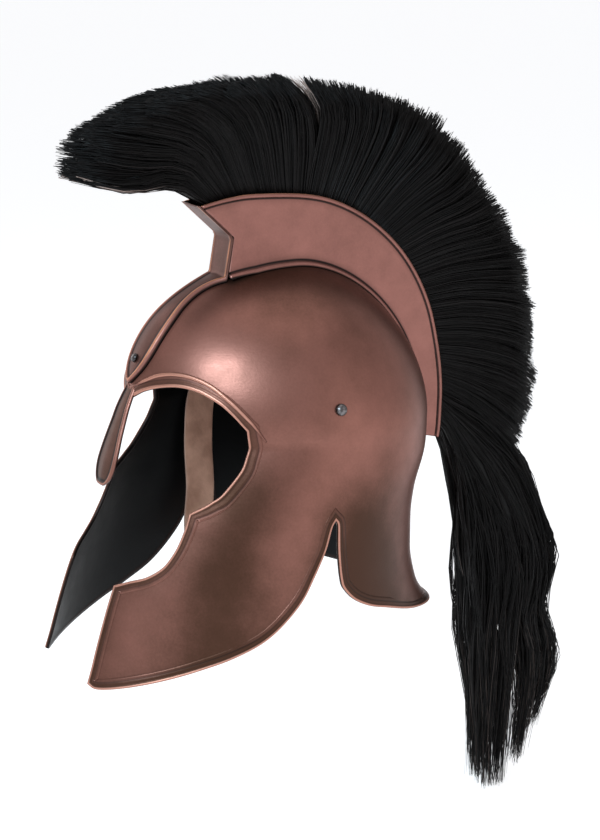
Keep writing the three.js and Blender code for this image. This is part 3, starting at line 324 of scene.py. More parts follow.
def on_shell(rows, spacing, corner=0.0):
    """Stations along a table's line: turn, row and roll. They lie a spacing apart, and a corner's
    neighbours keep a distance from it."""
    marks = np.array(rows, float) / (90, 1, 1)
    fine = through(marks, np.linspace(0, 1, 400))
    turn = fine[:, 0] * np.pi / 2
    row = row_at_height(turn, CROWN - fine[:, 1] * CHEEK_DROP)
    steps = np.linalg.norm(np.diff(shell(turn, row), axis=0), axis=1)
    way = np.concatenate([[0], np.cumsum(steps)])
    inner = np.linspace(corner, way[-1] - corner, max(int((way[-1] - 2 * corner) / spacing), 2))
    spots = np.concatenate([[0], inner, way[-1:]]) if corner else inner
    return np.column_stack([np.interp(spots, way, column) for column in (turn, row, fine[:, 2])])


EDGE_SPACING = 1.6 * MM
EDGE_CORNER = 2.6 * MM
edge_parts = [on_shell(rows, EDGE_SPACING, EDGE_CORNER) for rows in EDGE.values()]
edge = np.vstack([edge_parts[0]] + [part[1:] for part in edge_parts[1:]])
edge_line = shell(edge[:, 0], edge[:, 1])


def inside_edge(turn, height):
    """Whether a place is on the metal: a level line from it crosses the edge an odd number of
    times, with the edge closed far above the helmet."""
    far = np.array([[np.pi + 1, edge_line[-1, 2]], [np.pi + 1, 9], [-1, 9], [-1, edge_line[0, 2]]])
    ring = np.vstack([np.column_stack([edge[:, 0], edge_line[:, 2]]), far])
    a, b = ring, np.roll(ring, -1, axis=0)
    crosses = (a[:, 1] > height[:, None]) != (b[:, 1] > height[:, None])
    rise = np.where(b[:, 1] == a[:, 1], 1, b[:, 1] - a[:, 1])
    at = a[:, 0] + (height[:, None] - a[:, 1]) / rise * (b[:, 0] - a[:, 0])
    return (crosses & (turn[:, None] < at)).sum(axis=1) % 2 == 1


def gap_to_edge(points):
    """The shortest way from each point to the edge's straight stretches."""
    a = edge_line[:-1]
    way = edge_line[1:] - a
    size = (way ** 2).sum(axis=1)
    gaps = []
    for some in np.array_split(points, max(len(points) // 3000, 1)):
        off = some[:, None] - a
        t = np.clip((off * way).sum(axis=2) / size, 0, 1)
        gaps.append(np.linalg.norm(off - t[..., None] * way, axis=2).min(axis=1))
    return np.concatenate(gaps)


def quads(across, along, closed=False):
    """Triangles of a grid of points, row after row. A closed grid's rows meet themselves."""
    columns = np.arange(across if closed else across - 1)
    a = (np.arange(along - 1)[:, None] * across + columns).ravel()
    b = (np.arange(along - 1)[:, None] * across + (columns + 1) % across).ravel()
    return np.vstack([np.column_stack([a, b, b + across]), np.column_stack([a, b + across, a + across])])


def cut_sheet(faces, depth):
    """Keeps the triangles' parts where the depth is above nought. It gives the new faces, and the
    pairs of old points that each new point lies between, with the share of the way."""
    inside = depth[faces] > 0
    count = inside.sum(axis=1)
    crossed = []
    for wanted in (1, 2):
        some = faces[count == wanted]
        first = (inside[count == wanted] == (wanted == 1)).argmax(axis=1)
        crossed.append([some[np.arange(len(some)), (first + k) % 3] for k in range(3)])
    pairs = np.vstack([np.column_stack([a, other]) for a, b, c in crossed for other in (b, c)])
    keys, new = np.unique(np.sort(pairs, axis=1), axis=0, return_inverse=True)
    new = new.ravel() + len(depth)
    sizes = [len(a) for a, b, c in crossed for other in (b, c)]
    ab1, ac1, ab2, ac2 = np.split(new, np.cumsum(sizes)[:-1])
    a1, (_, b2, c2) = crossed[0][0], crossed[1]
    kept = np.vstack([faces[count == 3], np.column_stack([a1, ab1, ac1]),
                      np.column_stack([ab2, b2, c2]), np.column_stack([ab2, c2, ac2])])
    share = depth[keys[:, 0]] / (depth[keys[:, 0]] - depth[keys[:, 1]])
    return kept, keys, share


def swept(line, normals, section):
    """Carries closed sections along a line. In a section the first number goes sideways into the
    metal and the second off its face, and corners are mitred."""
    along = np.diff(line, axis=0)
    before, after = np.vstack([along[:1], along]), np.vstack([along, along[-1:]])
    first, second = unit(-np.cross(before, normals)), unit(-np.cross(after, normals))
    across = unit(first + second)
    mitre = np.minimum(1 / np.maximum((across * first).sum(axis=1), 0.6), 1.5)
    across = across * mitre[:, None]
    return line[:, None] + section[..., :1] * across[:, None] + section[..., 1:] * normals[:, None]


def tube(rings):
    """Points and triangles of a bar through rings of points, with a fan on each end."""
    stations, sides = rings.shape[:2]
    points = np.vstack([rings.reshape(-1, 3), rings[0].mean(axis=0), rings[-1].mean(axis=0)])
    k = np.arange(sides)
    after = (k + 1) % sides
    start = np.full(sides, stations * sides)
    last = (stations - 1) * sides
    return points, np.vstack([quads(sides, stations, closed=True),
                              np.column_stack([start, after, k]),
                              np.column_stack([start + 1, last + k, last + after])])


def capped(wear, ends):
    """What a bar's points carry, with one value for the middles of its two ends."""
    return np.append(wear, [ends, ends])


class Build:
    """Gathers the bodies of one piece, with what each point carries, and makes its mesh."""

    def __init__(self):
        self.points, self.faces, self.slots, self.wears, self.count = [], [], [], {}, 0

    def add_faces(self, faces, slot):
        self.faces.append(faces)
        self.slots.append(np.full(len(faces), slot))

    def add(self, points, faces, **wears):
        self.points.append(points)
        self.add_faces(faces + self.count, 0)
        for name, values in wears.items():
            self.wears.setdefault(name, []).append((self.count, np.broadcast_to(values, len(points))))
        self.count += len(points)

    def add_mirrored(self, points, faces, **wears):
        self.add(points, faces, **wears)
        self.add(points * (-1, 1, 1), faces[:, ::-1], **wears)

    def piece(self, name, finishes):
        points, faces = np.vstack(self.points), np.vstack(self.faces)
        mesh = bpy.data.meshes.new(name)
        mesh.vertices.add(len(points))
        mesh.vertices.foreach_set("co", points.astype(np.float32).ravel())
        mesh.loops.add(faces.size)
        mesh.loops.foreach_set("vertex_index", faces.astype(np.int32).ravel())
        mesh.polygons.add(len(faces))
        mesh.polygons.foreach_set("loop_start", np.arange(0, faces.size, 3, dtype=np.int32))
        mesh.polygons.foreach_set("material_index", np.concatenate(self.slots).astype(np.int32))
        mesh.polygons.foreach_set("use_smooth", np.ones(len(faces), bool))
        for wear, parts in self.wears.items():
            values = np.zeros(len(points), np.float32)
            for start, part in parts:
                values[start:start + len(part)] = part
            mesh.attributes.new(wear, "FLOAT", "POINT").data.foreach_set("value", values)
        mesh.update(calc_edges=True)
        mesh.validate()
        for finish in finishes:
            mesh.materials.append(finish.material)
        made = bpy.data.objects.new(name, mesh)
        bpy.context.collection.objects.link(made)
        return made


def copper_finish(name, dark, middle, bright, gloss):
    """Antiqued copper: brown and red blotches, black in the hollows and bare on the ridges. The browning and
    the blackening that a mesh carries also hold painted shade and painted shadow.
    """
    finish = Finish(name, gloss, metallic=0.88)
    cloud = finish.noise(22, 4)
    blotch = finish.noise(70, 5)
    speckle = finish.noise(620, 2)
    scratch = finish.noise(160, 2, (1, 1, 9))
    patina, bare = finish.wear("patina"), finish.wear("bare")
    shade = (patina + (cloud - 0.5) * 0.45 + (blotch - 0.5) * 0.22 + (speckle - 0.5) * 0.16).eased(0.0, 1.0)
    colour = finish.blend(shade, middle, dark)
    ridge = (bare + (blotch - 0.5) * 0.5).eased(0.3, 0.95)
    colour = finish.blend(ridge, colour, bright)
    finish.paint(finish.blend(finish.wear("soot").eased(0.05, 0.95), colour, (0.016, 0.011, 0.01)))
    finish.gloss(gloss + (blotch - 0.5) * 0.12 + patina * 0.08 + (scratch - 0.5) * 0.08)
    finish.relief(speckle * 0.4 + blotch * 0.5 + scratch * 0.2, 0.00022, 0.45)
    return finish


shell_copper = copper_finish("antiqued_copper", (0.062, 0.027, 0.016), (0.3, 0.128, 0.1),
                             (0.46, 0.218, 0.16), 0.35)

fire_black = Finish("fire_black", 0.4, specular=0.1)
fire_black.paint(fire_black.blend(fire_black.noise(40, 4), (0.001, 0.001, 0.001), (0.003, 0.0028, 0.003)))
fire_black.gloss(fire_black.noise(90, 3) * 0.16 + 0.34)
fire_black.relief(fire_black.noise(300, 3), 0.0002, 0.3)

TURNS = 208
DOME_ROWS = 48
SKIRT_ROWS = 56
turns = np.linspace(0, 2 * np.pi, TURNS, endpoint=False)
rows = np.concatenate([np.linspace(0.03, 1, DOME_ROWS), np.linspace(1, 2, SKIRT_ROWS)[1:]])
grid_row, grid_turn = (part.ravel() for part in np.meshgrid(rows, turns, indexing="ij"))
grid_row = np.append(grid_row, 0.001)
grid_turn = np.append(grid_turn, 0.0)
crown = len(grid_row) - 1
grid_place = shell(grid_turn, grid_row)
k = np.arange(TURNS)
sheet_faces = np.vstack([quads(TURNS, len(rows), closed=True)[:, ::-1],
                         np.column_stack([np.full(TURNS, crown), k, (k + 1) % TURNS])])
folded = np.minimum(grid_turn, 2 * np.pi - grid_turn)
gap = gap_to_edge(np.abs(grid_place * (1, 0, 0)) + grid_place * (0, 1, 1))
depth = np.where(inside_edge(folded, grid_place[:, 2]), gap, -gap)
sheet_faces, pairs, share = cut_sheet(sheet_faces, depth)
raw_turn = grid_turn[pairs]
raw_turn[:, 1] += np.where(raw_turn[:, 1] - raw_turn[:, 0] < -np.pi, 2 * np.pi, 0)
raw_turn[:, 0] += np.where(raw_turn[:, 0] - raw_turn[:, 1] < -np.pi, 2 * np.pi, 0)
sheet_turn = np.append(grid_turn, raw_turn[:, 0] + (raw_turn[:, 1] - raw_turn[:, 0]) * share)
raw_row = grid_row[pairs]
sheet_row = np.append(grid_row, raw_row[:, 0] + (raw_row[:, 1] - raw_row[:, 0]) * share)
sheet_depth = np.append(depth, np.zeros(len(pairs)))
used = np.unique(sheet_faces)
renamed = np.zeros(len(sheet_turn), int)
renamed[used] = np.arange(len(used))
sheet_faces = renamed[sheet_faces]
sheet_turn, sheet_row, sheet_depth = sheet_turn[used], sheet_row[used], sheet_depth[used]
outer = shell(sheet_turn, sheet_row)
inner = outer - WALL * shell_normal(sheet_turn, sheet_row)


def walled(outer, inner, faces):
    """Joins an outer and an inner face all round their edge into one closed wall."""
    sides = np.vstack([faces[:, [0, 1]], faces[:, [1, 2]], faces[:, [2, 0]]])
    _, first, times = np.unique(np.sort(sides, axis=1), axis=0, return_index=True, return_counts=True)
    a, b = sides[first[times == 1]].T
    lower = len(outer)
    rim = np.vstack([np.column_stack([b, a, a + lower]), np.column_stack([b, a + lower, b + lower])])
    return np.vstack([outer, inner]), faces, faces[:, ::-1] + lower, rim


wall_points, outer_faces, inner_faces, rim_faces = walled(outer, inner, sheet_faces)


def shell_patina(place, turn, depth):
    """How brown the copper is, with painted shade in it: painted shade under the crest, behind the eye and on
    the neck guard's front part, and more brown low on the cheek's front and near an edge, each an exponential
    or a bell of the distance from it."""
    turn = np.degrees(np.minimum(turn, 2 * np.pi - turn))
    x, y, z = np.moveaxis(place, -1, 0)
    crest_shade = np.exp(-np.maximum(np.abs(x) - 0.018, 0) / 0.034)
    crest_shade = crest_shade * eased(y, -0.085, -0.03) * eased(z, -0.17, -0.07)
    eye_shade = np.exp(-((turn - 60) / 13) ** 2) * eased(-z, 0.10, 0.15) * (1 - 0.45 * eased(-z, 0.2, 0.27))
    low_cheek = eased(-z, 0.13, 0.22) * eased(-y, -0.01, 0.07) * 0.16
    neck_shade = eased(-z, 0.1, 0.22) * (0.15 + 0.9 * np.exp(-((turn - 106) / 22) ** 2)) * eased(y, -0.06, 0.02)
    return 0.3 + 0.62 * crest_shade + 0.5 * eye_shade + low_cheek + neck_shade + 0.22 * np.exp(-depth / 0.008)


patina = shell_patina(outer, sheet_turn, np.maximum(sheet_depth, 0))
build = Build()
build.add(wall_points, outer_faces, patina=np.tile(patina, 2), bare=0.0, soot=0.0)
build.add_faces(inner_faces, 1)
build.add_faces(rim_faces, 0)

# The edge is rolled over all round into a thin rim. Inside the rim lies a flat brown band, wider
# behind the eye, and inside that a shallow groove that the patina has blackened.
RIM = 1.7 * MM
GROOVE = 3.4 * MM
RIM_MARK = 1.7
BAND_MARK = 2.7
# Columns: place, height in millimetres, and how bare and how black the metal is there. The places
# up to RIM_MARK lie on the rim and are stretched with it, those up to BAND_MARK are shares of the
# flat band, and those beyond are millimetres into the groove.
EDGE_SECTION = np.array([
    (-0.6, -0.7, 0, 1), (-0.58, 0.1, 0.3, 0.2), (-0.3, 0.72, 0.85, 0), (0.2, 1.02, 1, 0),
    (0.75, 0.92, 0.9, 0), (1.25, 0.6, 0.3, 0), (1.7, 0.42, 0, 0.3), (2, 0.4, 0, 0.05),
    (2.4, 0.42, 0, 0), (2.65, 0.38, 0.1, 0.1), (3.15, 0.14, 0, 0.6), (3.7, 0.1, 0, 0.32),
    (4.6, 0.06, 0, 0.08), (6.1, 0.04, 0, 0)])


def medial_reach(line, normals, most):
    """How far each station can go sideways into the metal before another stretch of the edge is
    nearer, tried in steps of half a millimetre."""
    tries = np.arange(0.5, most / MM + 0.5, 0.5) * MM
    across = swept(line, normals, np.stack([np.broadcast_to(tries, (len(line), len(tries))),
                                            np.zeros((len(line), len(tries)))], axis=-1))
    away = np.linalg.norm(across - line[:, None], axis=-1)
    free = gap_to_edge(across.reshape(-1, 3)).reshape(away.shape) > 0.93 * np.minimum(away, tries)
    return np.where(free.all(axis=1), most, tries[np.argmin(free, axis=1)] - 0.4 * MM)


edge_normals = shell_normal(edge[:, 0], edge[:, 1])
on_brow = (np.arange(len(edge)) < len(edge_parts[0])) * (1 - eased(np.degrees(edge[:, 0]), 42, 53))
rim = (RIM * (1 + 0.45 * on_brow))[:, None]
band_end = np.maximum(edge[:, 2:] * ROLL_WIDTH + 0.4 * MM, rim + 0.8 * MM)
places = EDGE_SECTION[:, 0]
on_band = rim + (places - RIM_MARK) * (band_end - rim)
deep = np.where(places < RIM_MARK, places * rim / RIM_MARK, on_band)
deep = np.where(places > BAND_MARK, band_end + (places - BAND_MARK) * MM, deep)
deep = np.minimum(deep, medial_reach(edge_line, edge_normals, 9 * MM)[:, None])
proud = np.broadcast_to(EDGE_SECTION[:, 1] * MM, deep.shape)
below = -WALL - 0.3 * MM
closing = [(band_end + GROOVE + 0.1 * MM, -0.45 * MM), (band_end * 0.5, below),
           (rim * 0 - 0.45 * MM, below)]
deep = np.hstack([deep] + [np.minimum(a, deep[:, -1:]) for a, _ in closing])
proud = np.hstack([proud] + [np.full((len(edge), 1), h) for _, h in closing])
rings = swept(edge_line, edge_normals, np.stack([deep, proud], axis=-1))
rings[[0, -1], :, 0] = 0
roll_points, roll_faces = tube(rings)
# The roll takes the shell's browning with its painted shade, and its flat band is browner.
roll_patina = shell_patina(rings, edge[:, :1] + deep * 0, np.maximum(deep, 0)) + 0.2 * (deep < band_end)
roll_bare = np.tile(np.append(EDGE_SECTION[:, 2], [0, 0, 0]), len(edge))
roll_soot = np.tile(np.append(EDGE_SECTION[:, 3], [1, 1, 1]), len(edge))
build.add_mirrored(roll_points, roll_faces, patina=capped(roll_patina, 0),
                   bare=capped(roll_bare, 0), soot=capped(roll_soot, 1))

# The ridge over each brow is a hollow bead raised from behind. It starts at the nose, follows the
# brow a finger's width above the edge and runs out behind the eye.
SECTION_STEPS = 16


def bead_ring(half, rise, dip):
    """A closed section: across it goes as the cosine to the power 0.9, up as the sine to the same
    power, and below the face it only reaches down by the dip."""
    phi = np.linspace(0, 2 * np.pi, SECTION_STEPS, endpoint=False)
    up = np.sign(np.sin(phi)) * np.abs(np.sin(phi)) ** 0.9
    wide = np.sign(np.cos(phi)) * np.abs(np.cos(phi)) ** 0.9
    high = np.where(up > 0, up * rise[:, None], up * dip)
    return np.stack([half[:, None] * wide, high], axis=-1)


# Columns: turn in degrees, drop as a share of CHEEK_DROP, and share of the bead's full size.
BROW_BEAD = [(6.5, 0.275, 0.35), (12.5, 0.257, 0.9), (19.6, 0.239, 1), (25.8, 0.233, 1), (33.2, 0.237, 1),
             (40.9, 0.256, 1), (47.6, 0.289, 1), (53.3, 0.327, 0.9), (59.5, 0.385, 0.35)]
BROW_BEAD_WIDTH = 3.2 * MM
BROW_BEAD_PROUD = 1.5 * MM
ridge = on_shell(BROW_BEAD, 1.5 * MM)
ridge_line, ridge_normals = shell(ridge[:, 0], ridge[:, 1]), shell_normal(ridge[:, 0], ridge[:, 1])
section = bead_ring(ridge[:, 2] * BROW_BEAD_WIDTH / 2, ridge[:, 2] * BROW_BEAD_PROUD, WALL / 2)
ridge_points, ridge_faces = tube(swept(ridge_line, ridge_normals, section))
height = capped(section[..., 1] / BROW_BEAD_PROUD, 0)
build.add_mirrored(ridge_points, ridge_faces[:, ::-1], patina=0.4,
                   bare=np.clip(height * 1.4 - 0.4, 0, 1), soot=np.clip(0.75 - height * 1.6, 0, 1))

# The nasal is a tongue of thicker sheet forged onto the brow, with a raised border round it.
# Columns: drop as a share of NASAL_LENGTH, then forward of BOWL_FRONT and width of NASAL_WIDTH.
NASAL_LENGTH = 68 * MM
NASAL_WIDTH = 28 * MM
NASAL_THICK = 2.6 * MM
NASAL_BORDER = 3 * MM
BORDER_PROUD = 1.1 * MM
NASAL_BOW = 0.16
NASAL_TOP = CROWN - EDGE["brow"][0][1] * CHEEK_DROP + 8 * MM
NASAL = np.array([
    (0, 0.968, 0.5), (0.1, 0.998, 0.56), (0.22, 1.03, 0.64), (0.36, 1.06, 0.72), (0.5, 1.09, 0.82),
    (0.64, 1.118, 0.93), (0.77, 1.142, 0.98), (0.87, 1.156, 0.9), (0.945, 1.164, 0.68), (1, 1.169, 0.3)])
BORDER_STEPS = 31


def border_rise(gap, width):
    """A half-round border: a sine that starts at the edge and ends a border's width inside it."""
    return np.sin(np.pi * np.clip(gap / width, 0, 1)) ** 0.8


down = np.concatenate([np.linspace(0, 0.9, 56), np.linspace(0.9, 1, 14)[1:]])
half = read(NASAL, 2, down) * NASAL_WIDTH / 2
forward = read(NASAL, 1, down) * BOWL_FRONT
across = np.sin(np.linspace(-np.pi / 2, np.pi / 2, BORDER_STEPS))
gap = np.minimum(half[:, None] * (1 - np.abs(across)), (1 - down[:, None]) * NASAL_LENGTH)
rise = border_rise(gap, NASAL_BORDER)
face_x = half[:, None] * across
bow = NASAL_BOW * np.abs(face_x) ** 1.5 / NASAL_WIDTH ** 0.5 * 1.4
plain_y = bow - forward[:, None]
face_z = np.broadcast_to((NASAL_TOP - down * NASAL_LENGTH)[:, None], face_x.shape)
face = np.stack([face_x, plain_y - rise * BORDER_PROUD, face_z], axis=-1)
back_y = plain_y + NASAL_THICK * (0.55 + 0.45 * np.cos(across * np.pi / 2))
back = np.stack([face_x, back_y, face_z], axis=-1)[:, ::-1]
nasal_points, nasal_faces = tube(np.concatenate([face, back], axis=1))
front_bare = np.concatenate([rise ** 3 * 0.8, np.zeros_like(rise)], axis=1)
hollow = 0.95 * np.exp(-((gap - NASAL_BORDER * 1.1) / (1.6 * MM)) ** 2)
front_soot = np.concatenate([hollow, np.ones_like(rise)], axis=1)
channel = 0.45 + 0.35 * eased(gap, NASAL_BORDER * 0.8, NASAL_BORDER * 1.3)
front_patina = np.concatenate([channel, channel], axis=1)
build.add(nasal_points, nasal_faces, patina=capped(front_patina, 0.5), bare=capped(front_bare, 0),
          soot=capped(front_soot, 0))

sheet = build.piece("shell_sheet", [shell_copper, fire_black])
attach(sheet, "root")
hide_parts("helmet_shell")

# Forehead band: one strip of redder copper, cut to a spearhead that is riveted to the brow. It
# has a raised border, climbs the forehead and stands up as the bent front of the crest box.
CLEARANCE = 0.3 * MM
CREST_WIDTH = 28 * MM
CREST_RADIUS = 170.6 * MM
BAND_SHEET = 1.4 * MM
BAND_BORDER = 4.2 * MM
BAND_PROUD = 1.5 * MM
BAND_SEAT = 2 * CLEARANCE
MIDDLE_Y, MIDDLE_Z = SKIRT[0, 4] * BOWL_FRONT, EQUATOR
# Columns: degrees down the forehead from straight up, and half the width as a share.
BAND = np.array([(25, 1), (29, 0.8), (35, 0.7), (42, 0.8), (49, 0.98), (56, 1.04), (63, 0.96), (68, 0.7),
                 (71.5, 0.32), (73.2, 0.08)])
# Angle in degrees round the bowl's middle and share of CREST_RADIUS, from the foot to the top.
CREST_FRONT = np.array([(-24.3, 0.689), (-17.7, 0.815), (-23.4, 0.996)])


def lane(side, angle, lift=0.0):
    """The sheet's point at a sideways distance and an angle round the bowl's middle, in radians.
    The way from the brow to the nape is halved thirty times to find it."""
    side, angle = np.broadcast_arrays(np.asarray(side, float), np.asarray(angle, float))
    x = np.maximum(np.abs(side), 0.5 * MM) / (BOWL_WIDTH / 2)
    start = np.arcsin(x ** (SKIRT[0, 5] / 2))
    end = np.pi - np.arcsin(x ** (SKIRT[0, 6] / 2))

    def place(progress):
        turn = start + (end - start) * np.minimum(progress, 1)
        bend = 2 / np.where(np.cos(turn) > 0, SKIRT[0, 5], SKIRT[0, 6])
        spread = np.minimum(x / np.sin(turn) ** bend, 1)
        row = np.arcsin(spread ** (dome_squareness(np.cos(turn)) / 2)) / (np.pi / 2)
        wide = np.minimum(x / read(SKIRT, 3, progress - 1), 1)
        low_turn = np.pi - np.arcsin(wide ** (SKIRT[0, 6] / 2))
        return np.where(progress > 1, low_turn, turn), np.where(progress > 1, progress, row)

    low, high = np.zeros_like(x), np.full_like(x, 1.4)
    for _ in range(30):
        middle = (low + high) / 2
        point = shell(*place(middle))
        short = np.arctan2(point[..., 1] - MIDDLE_Y, point[..., 2] - MIDDLE_Z) < angle
        low, high = np.where(short, middle, low), np.where(short, high, middle)
    turn, row = place(low)
    point = shell(turn, row) + lift * shell_normal(turn, row)
    point[..., 0] = np.where(side < 0, -point[..., 0], point[..., 0])
    point[..., 0] = np.where(np.abs(side) < 0.5 * MM, side, point[..., 0])
    return point


def polar(angle, radius):
    """A place in the midline plane, from an angle round the bowl's middle and a distance."""
    return np.stack([MIDDLE_Y + np.sin(angle) * radius, MIDDLE_Z + np.cos(angle) * radius], axis=-1)


def seat_radius(side, angle, lift):
    point = lane(side, angle, lift)
    return np.hypot(point[..., 1] - MIDDLE_Y, point[..., 2] - MIDDLE_Z)


red_copper = copper_finish("red_copper", (0.085, 0.038, 0.029), (0.32, 0.138, 0.113), (0.66, 0.29, 0.16), 0.4)
SEAM = 0.9 * MM

fall = np.radians(np.linspace(-73.2, -25.5, 76))
half = read(BAND, 1, -np.degrees(fall)) * CREST_WIDTH / 2
across = np.sin(np.linspace(-np.pi / 2, np.pi / 2, BORDER_STEPS))
side = half[:, None] * across
tip_gap = (fall - fall[0]) * BOWL_FRONT
gap = np.minimum(half[:, None] * (1 - np.abs(across)), tip_gap[:, None])
rise = border_rise(gap, BAND_BORDER)
edge_round = eased(gap, 0, 0.5 * MM)
under = lane(side, fall[:, None], BAND_SEAT)
lift = (BAND_SHEET * (0.35 + 0.65 * edge_round) + rise * BAND_PROUD)[..., None]
over = under + lift * unit(lane(side, fall[:, None], 1 * MM) - lane(side, fall[:, None]))
# A thin seam strip runs all round the band just over the bowl and is painted black: a painted contact shadow
# where the band sits on the bowl.
seam = [lane(way * (half + SEAM), fall, 0.08 * MM)[:, None] for way in (-1, 1)]
forehead = np.concatenate([seam[0], over, seam[1], under[:, ::-1]], axis=1)

foot = max(seat_radius(CREST_WIDTH / 2, np.radians(CREST_FRONT[0, 0]), BAND_SEAT).item(),
           seat_radius(0, np.radians(CREST_FRONT[0, 0]), BAND_SEAT).item())
corners = polar(np.radians(CREST_FRONT[:, 0]), np.append(foot, CREST_FRONT[1:, 1] * CREST_RADIUS))
bend = 0.06
below_bend = corners[0] * bend + corners[1] * (1 - bend)
above_bend = corners[1] * (1 - bend) + corners[2] * bend
post = np.vstack([corners[0] + (below_bend - corners[0]) * t for t in np.linspace(0.04, 1, 14)]
                 + [above_bend + (corners[2] - above_bend) * t for t in np.linspace(0, 1, 14)])
wide = np.broadcast_to(CREST_WIDTH / 2 * across, (len(post), BORDER_STEPS))
post_gap = CREST_WIDTH / 2 * (1 - np.abs(across))
post_rise = border_rise(post_gap, BAND_BORDER) * 0.25
post_y, post_z = (np.broadcast_to(post[:, None, k], wide.shape) for k in (0, 1))
front_y = post_y - BAND_SHEET * (0.5 + 0.5 * eased(post_gap, 0, 0.5 * MM)) - post_rise * BORDER_PROUD
post_front = np.stack([wide, front_y, post_z], axis=-1)
post_back = np.stack([wide, post_y, post_z], axis=-1)[:, ::-1]
sliver = np.array([0.05 * MM, 0, 0])
upright = np.concatenate([post_front[:, :1] - sliver, post_front, post_front[:, -1:] + sliver,
                          post_back], axis=1)
band_points, band_faces = tube(np.concatenate([forehead, upright]))
# Black in the hollow inside the border, and along the band's very edge next to the seam's painted shadow.
hollow = np.exp(-((gap - BAND_BORDER * 1.12) / (1.2 * MM)) ** 2) * 0.95 + 0.8 * (1 - edge_round)
none = np.zeros((len(fall), 1))
bare = np.concatenate([none, rise ** 3 * 0.8, none, rise * 0], axis=1)
soot = np.concatenate([none + 1, hollow, none + 1, rise * 0 + 1], axis=1)
post_bare = np.concatenate([[0], post_rise * 2.4, [0], post_rise * 0])
bare = np.concatenate([bare, np.broadcast_to(post_bare, (len(post), len(post_bare)))])
soot = np.concatenate([soot, np.zeros((len(post), len(post_bare)))])
build = Build()
channel = 0.36 + 0.42 * eased(gap, BAND_BORDER * 0.85, BAND_BORDER * 1.3)
patina = np.concatenate([none + 1, channel, none + 1, rise * 0 + 1], axis=1)
patina = np.concatenate([patina, np.full((len(post), patina.shape[1]), 0.8)])
build.add(band_points, band_faces, patina=capped(patina, 1), bare=capped(bare, 0),
          soot=capped(soot, 0))
band = build.piece("forehead_strip", [red_copper])
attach(band, "root")
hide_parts("forehead_band")

# Crest box: a channel of the same redder copper that holds the plume. Its two side plates have a
# rolled top edge, and at their foot a narrow flange lies on the bowl.
CREST_SHEET = 1.5 * MM
CREST_FOOT = 3.2 * MM
CREST_BACK = 104.4
# Columns: angle in degrees round the bowl's middle, and the top edge's share of CREST_RADIUS.
CREST_TOP = np.array([(-22.3, 1), (-4.6, 0.945), (12.9, 0.9226), (34.9, 0.8734), (58.4, 0.8124),
                      (71.9, 0.7808), (92.3, 0.7696), (CREST_BACK, 0.7814)])
CREST_STATIONS = 150
KNEE = 0.47
NOTCH_FADE = 26 * MM
FLOOR_POINTS = 12


def crest_top(angle):
    return read(CREST_TOP, 1, np.degrees(angle)) * CREST_RADIUS


low_angle = np.radians(np.linspace(CREST_FRONT[0, 0] + 0.8, CREST_BACK, CREST_STATIONS))
top_angle = np.radians(np.linspace(CREST_TOP[0, 0], CREST_BACK, CREST_STATIONS))
plate = CREST_WIDTH / 2
seat = 2 * CLEARANCE
low_radius = seat_radius(plate, low_angle, seat)
top_radius = crest_top(top_angle)
tall = top_radius - low_radius
narrowing = 1 + (0.3 - 1) * eased(np.degrees(low_angle), 40, CREST_BACK)
foot_out = plate + CREST_FOOT * narrowing
out_radius = seat_radius(foot_out, low_angle, seat)


# One side's outline from the top edge down to the flange's rim, and a little past it. Columns: sideways from
# the plate in millimetres and as a share of the flange, height as a share and in millimetres, and how bare
# and how black the metal is there. The last row lies just over the bowl beyond the rim and is black: a
# painted contact shadow under the flange.
BEAD_TURN = np.linspace(np.pi * 0.9, -np.pi * 0.42, 9)
BEAD_BARE = (0.6, 1, 1, 0.8, 0.3, 0, 0, 0, 0)
BEAD_SOOT = (0, 0, 0, 0, 0, 0, 0, 0.3, 0.8)
OUTLINE = np.array(
    [(1.15 * np.cos(p) - 0.35, 0, 1, 1.5 * np.sin(p) - 1.1, bare, soot)
     for p, bare, soot in zip(BEAD_TURN, BEAD_BARE, BEAD_SOOT)]
    + [(-0.25, 0, 1, -3.1, 0, 0.85), (-0.2, 0, 1, -3.5, 0, 0.7), (0, 0, 1, -4, 0, 0.2)]
    + [(0, 0, share, 0, 0, 0) for share in np.linspace(0.84, 0.2, 8)]
    + [(0, 0, 0, 4.2, 0, 0.35), (0.25, 0, 0, 3.2, 0, 0.95), (0, 0.25, 0, 2.7, 0, 0.75),
       (0, 0.6, 0, 2.3, 0, 0.4), (-0.3, 1, 0, 1.9, 0.25, 0.15), (0, 1, 0, 1.1, 0.25, 0.1),
       (-0.1, 1, 0, 0.3, 0.25, 0.55), (0.8, 1, 0, -0.4, 0.25, 1)])
FLANGE_ROWS = 8
side_x = plate + OUTLINE[:, 0] * MM + OUTLINE[:, 1] * (foot_out - plate)[:, None]
side_t = OUTLINE[:, 2] + OUTLINE[:, 3] * MM / tall[:, None]
inner_x = np.full_like(side_x, plate - CREST_SHEET)
inner_t = side_t.copy()
inner_t[:, -FLANGE_ROWS:] = np.linspace(0.12, 0.0, FLANGE_ROWS) + 1.6 * MM / tall[:, None]


def crest_place(x, t, foot_drop=0.0):
    """A point of the channel from its sideways distance and its share of the height. The front
    edge is drawn back in the middle, and that fades out along the plate."""
    angle = low_angle[:, None] + (top_angle - low_angle)[:, None] * t
    place = polar(angle, low_radius[:, None] + tall[:, None] * t - foot_drop)
    reach = np.clip(t[0], 0, 1)[:, None]
    lower = corners[0] + (corners[1] - corners[0]) * reach / KNEE
    upper = corners[1] + (corners[2] - corners[1]) * (reach - KNEE) / (1 - KNEE)
    pull = np.where(reach < KNEE, lower, upper) + (CLEARANCE * 1.3, 0) - place[0]
    along = (low_angle - low_angle[0]) * CREST_RADIUS * 0.85
    fade = np.clip(1 - along / NOTCH_FADE, 0, 1)[:, None, None]
    return np.concatenate([x[..., None], place + pull * fade], axis=-1)


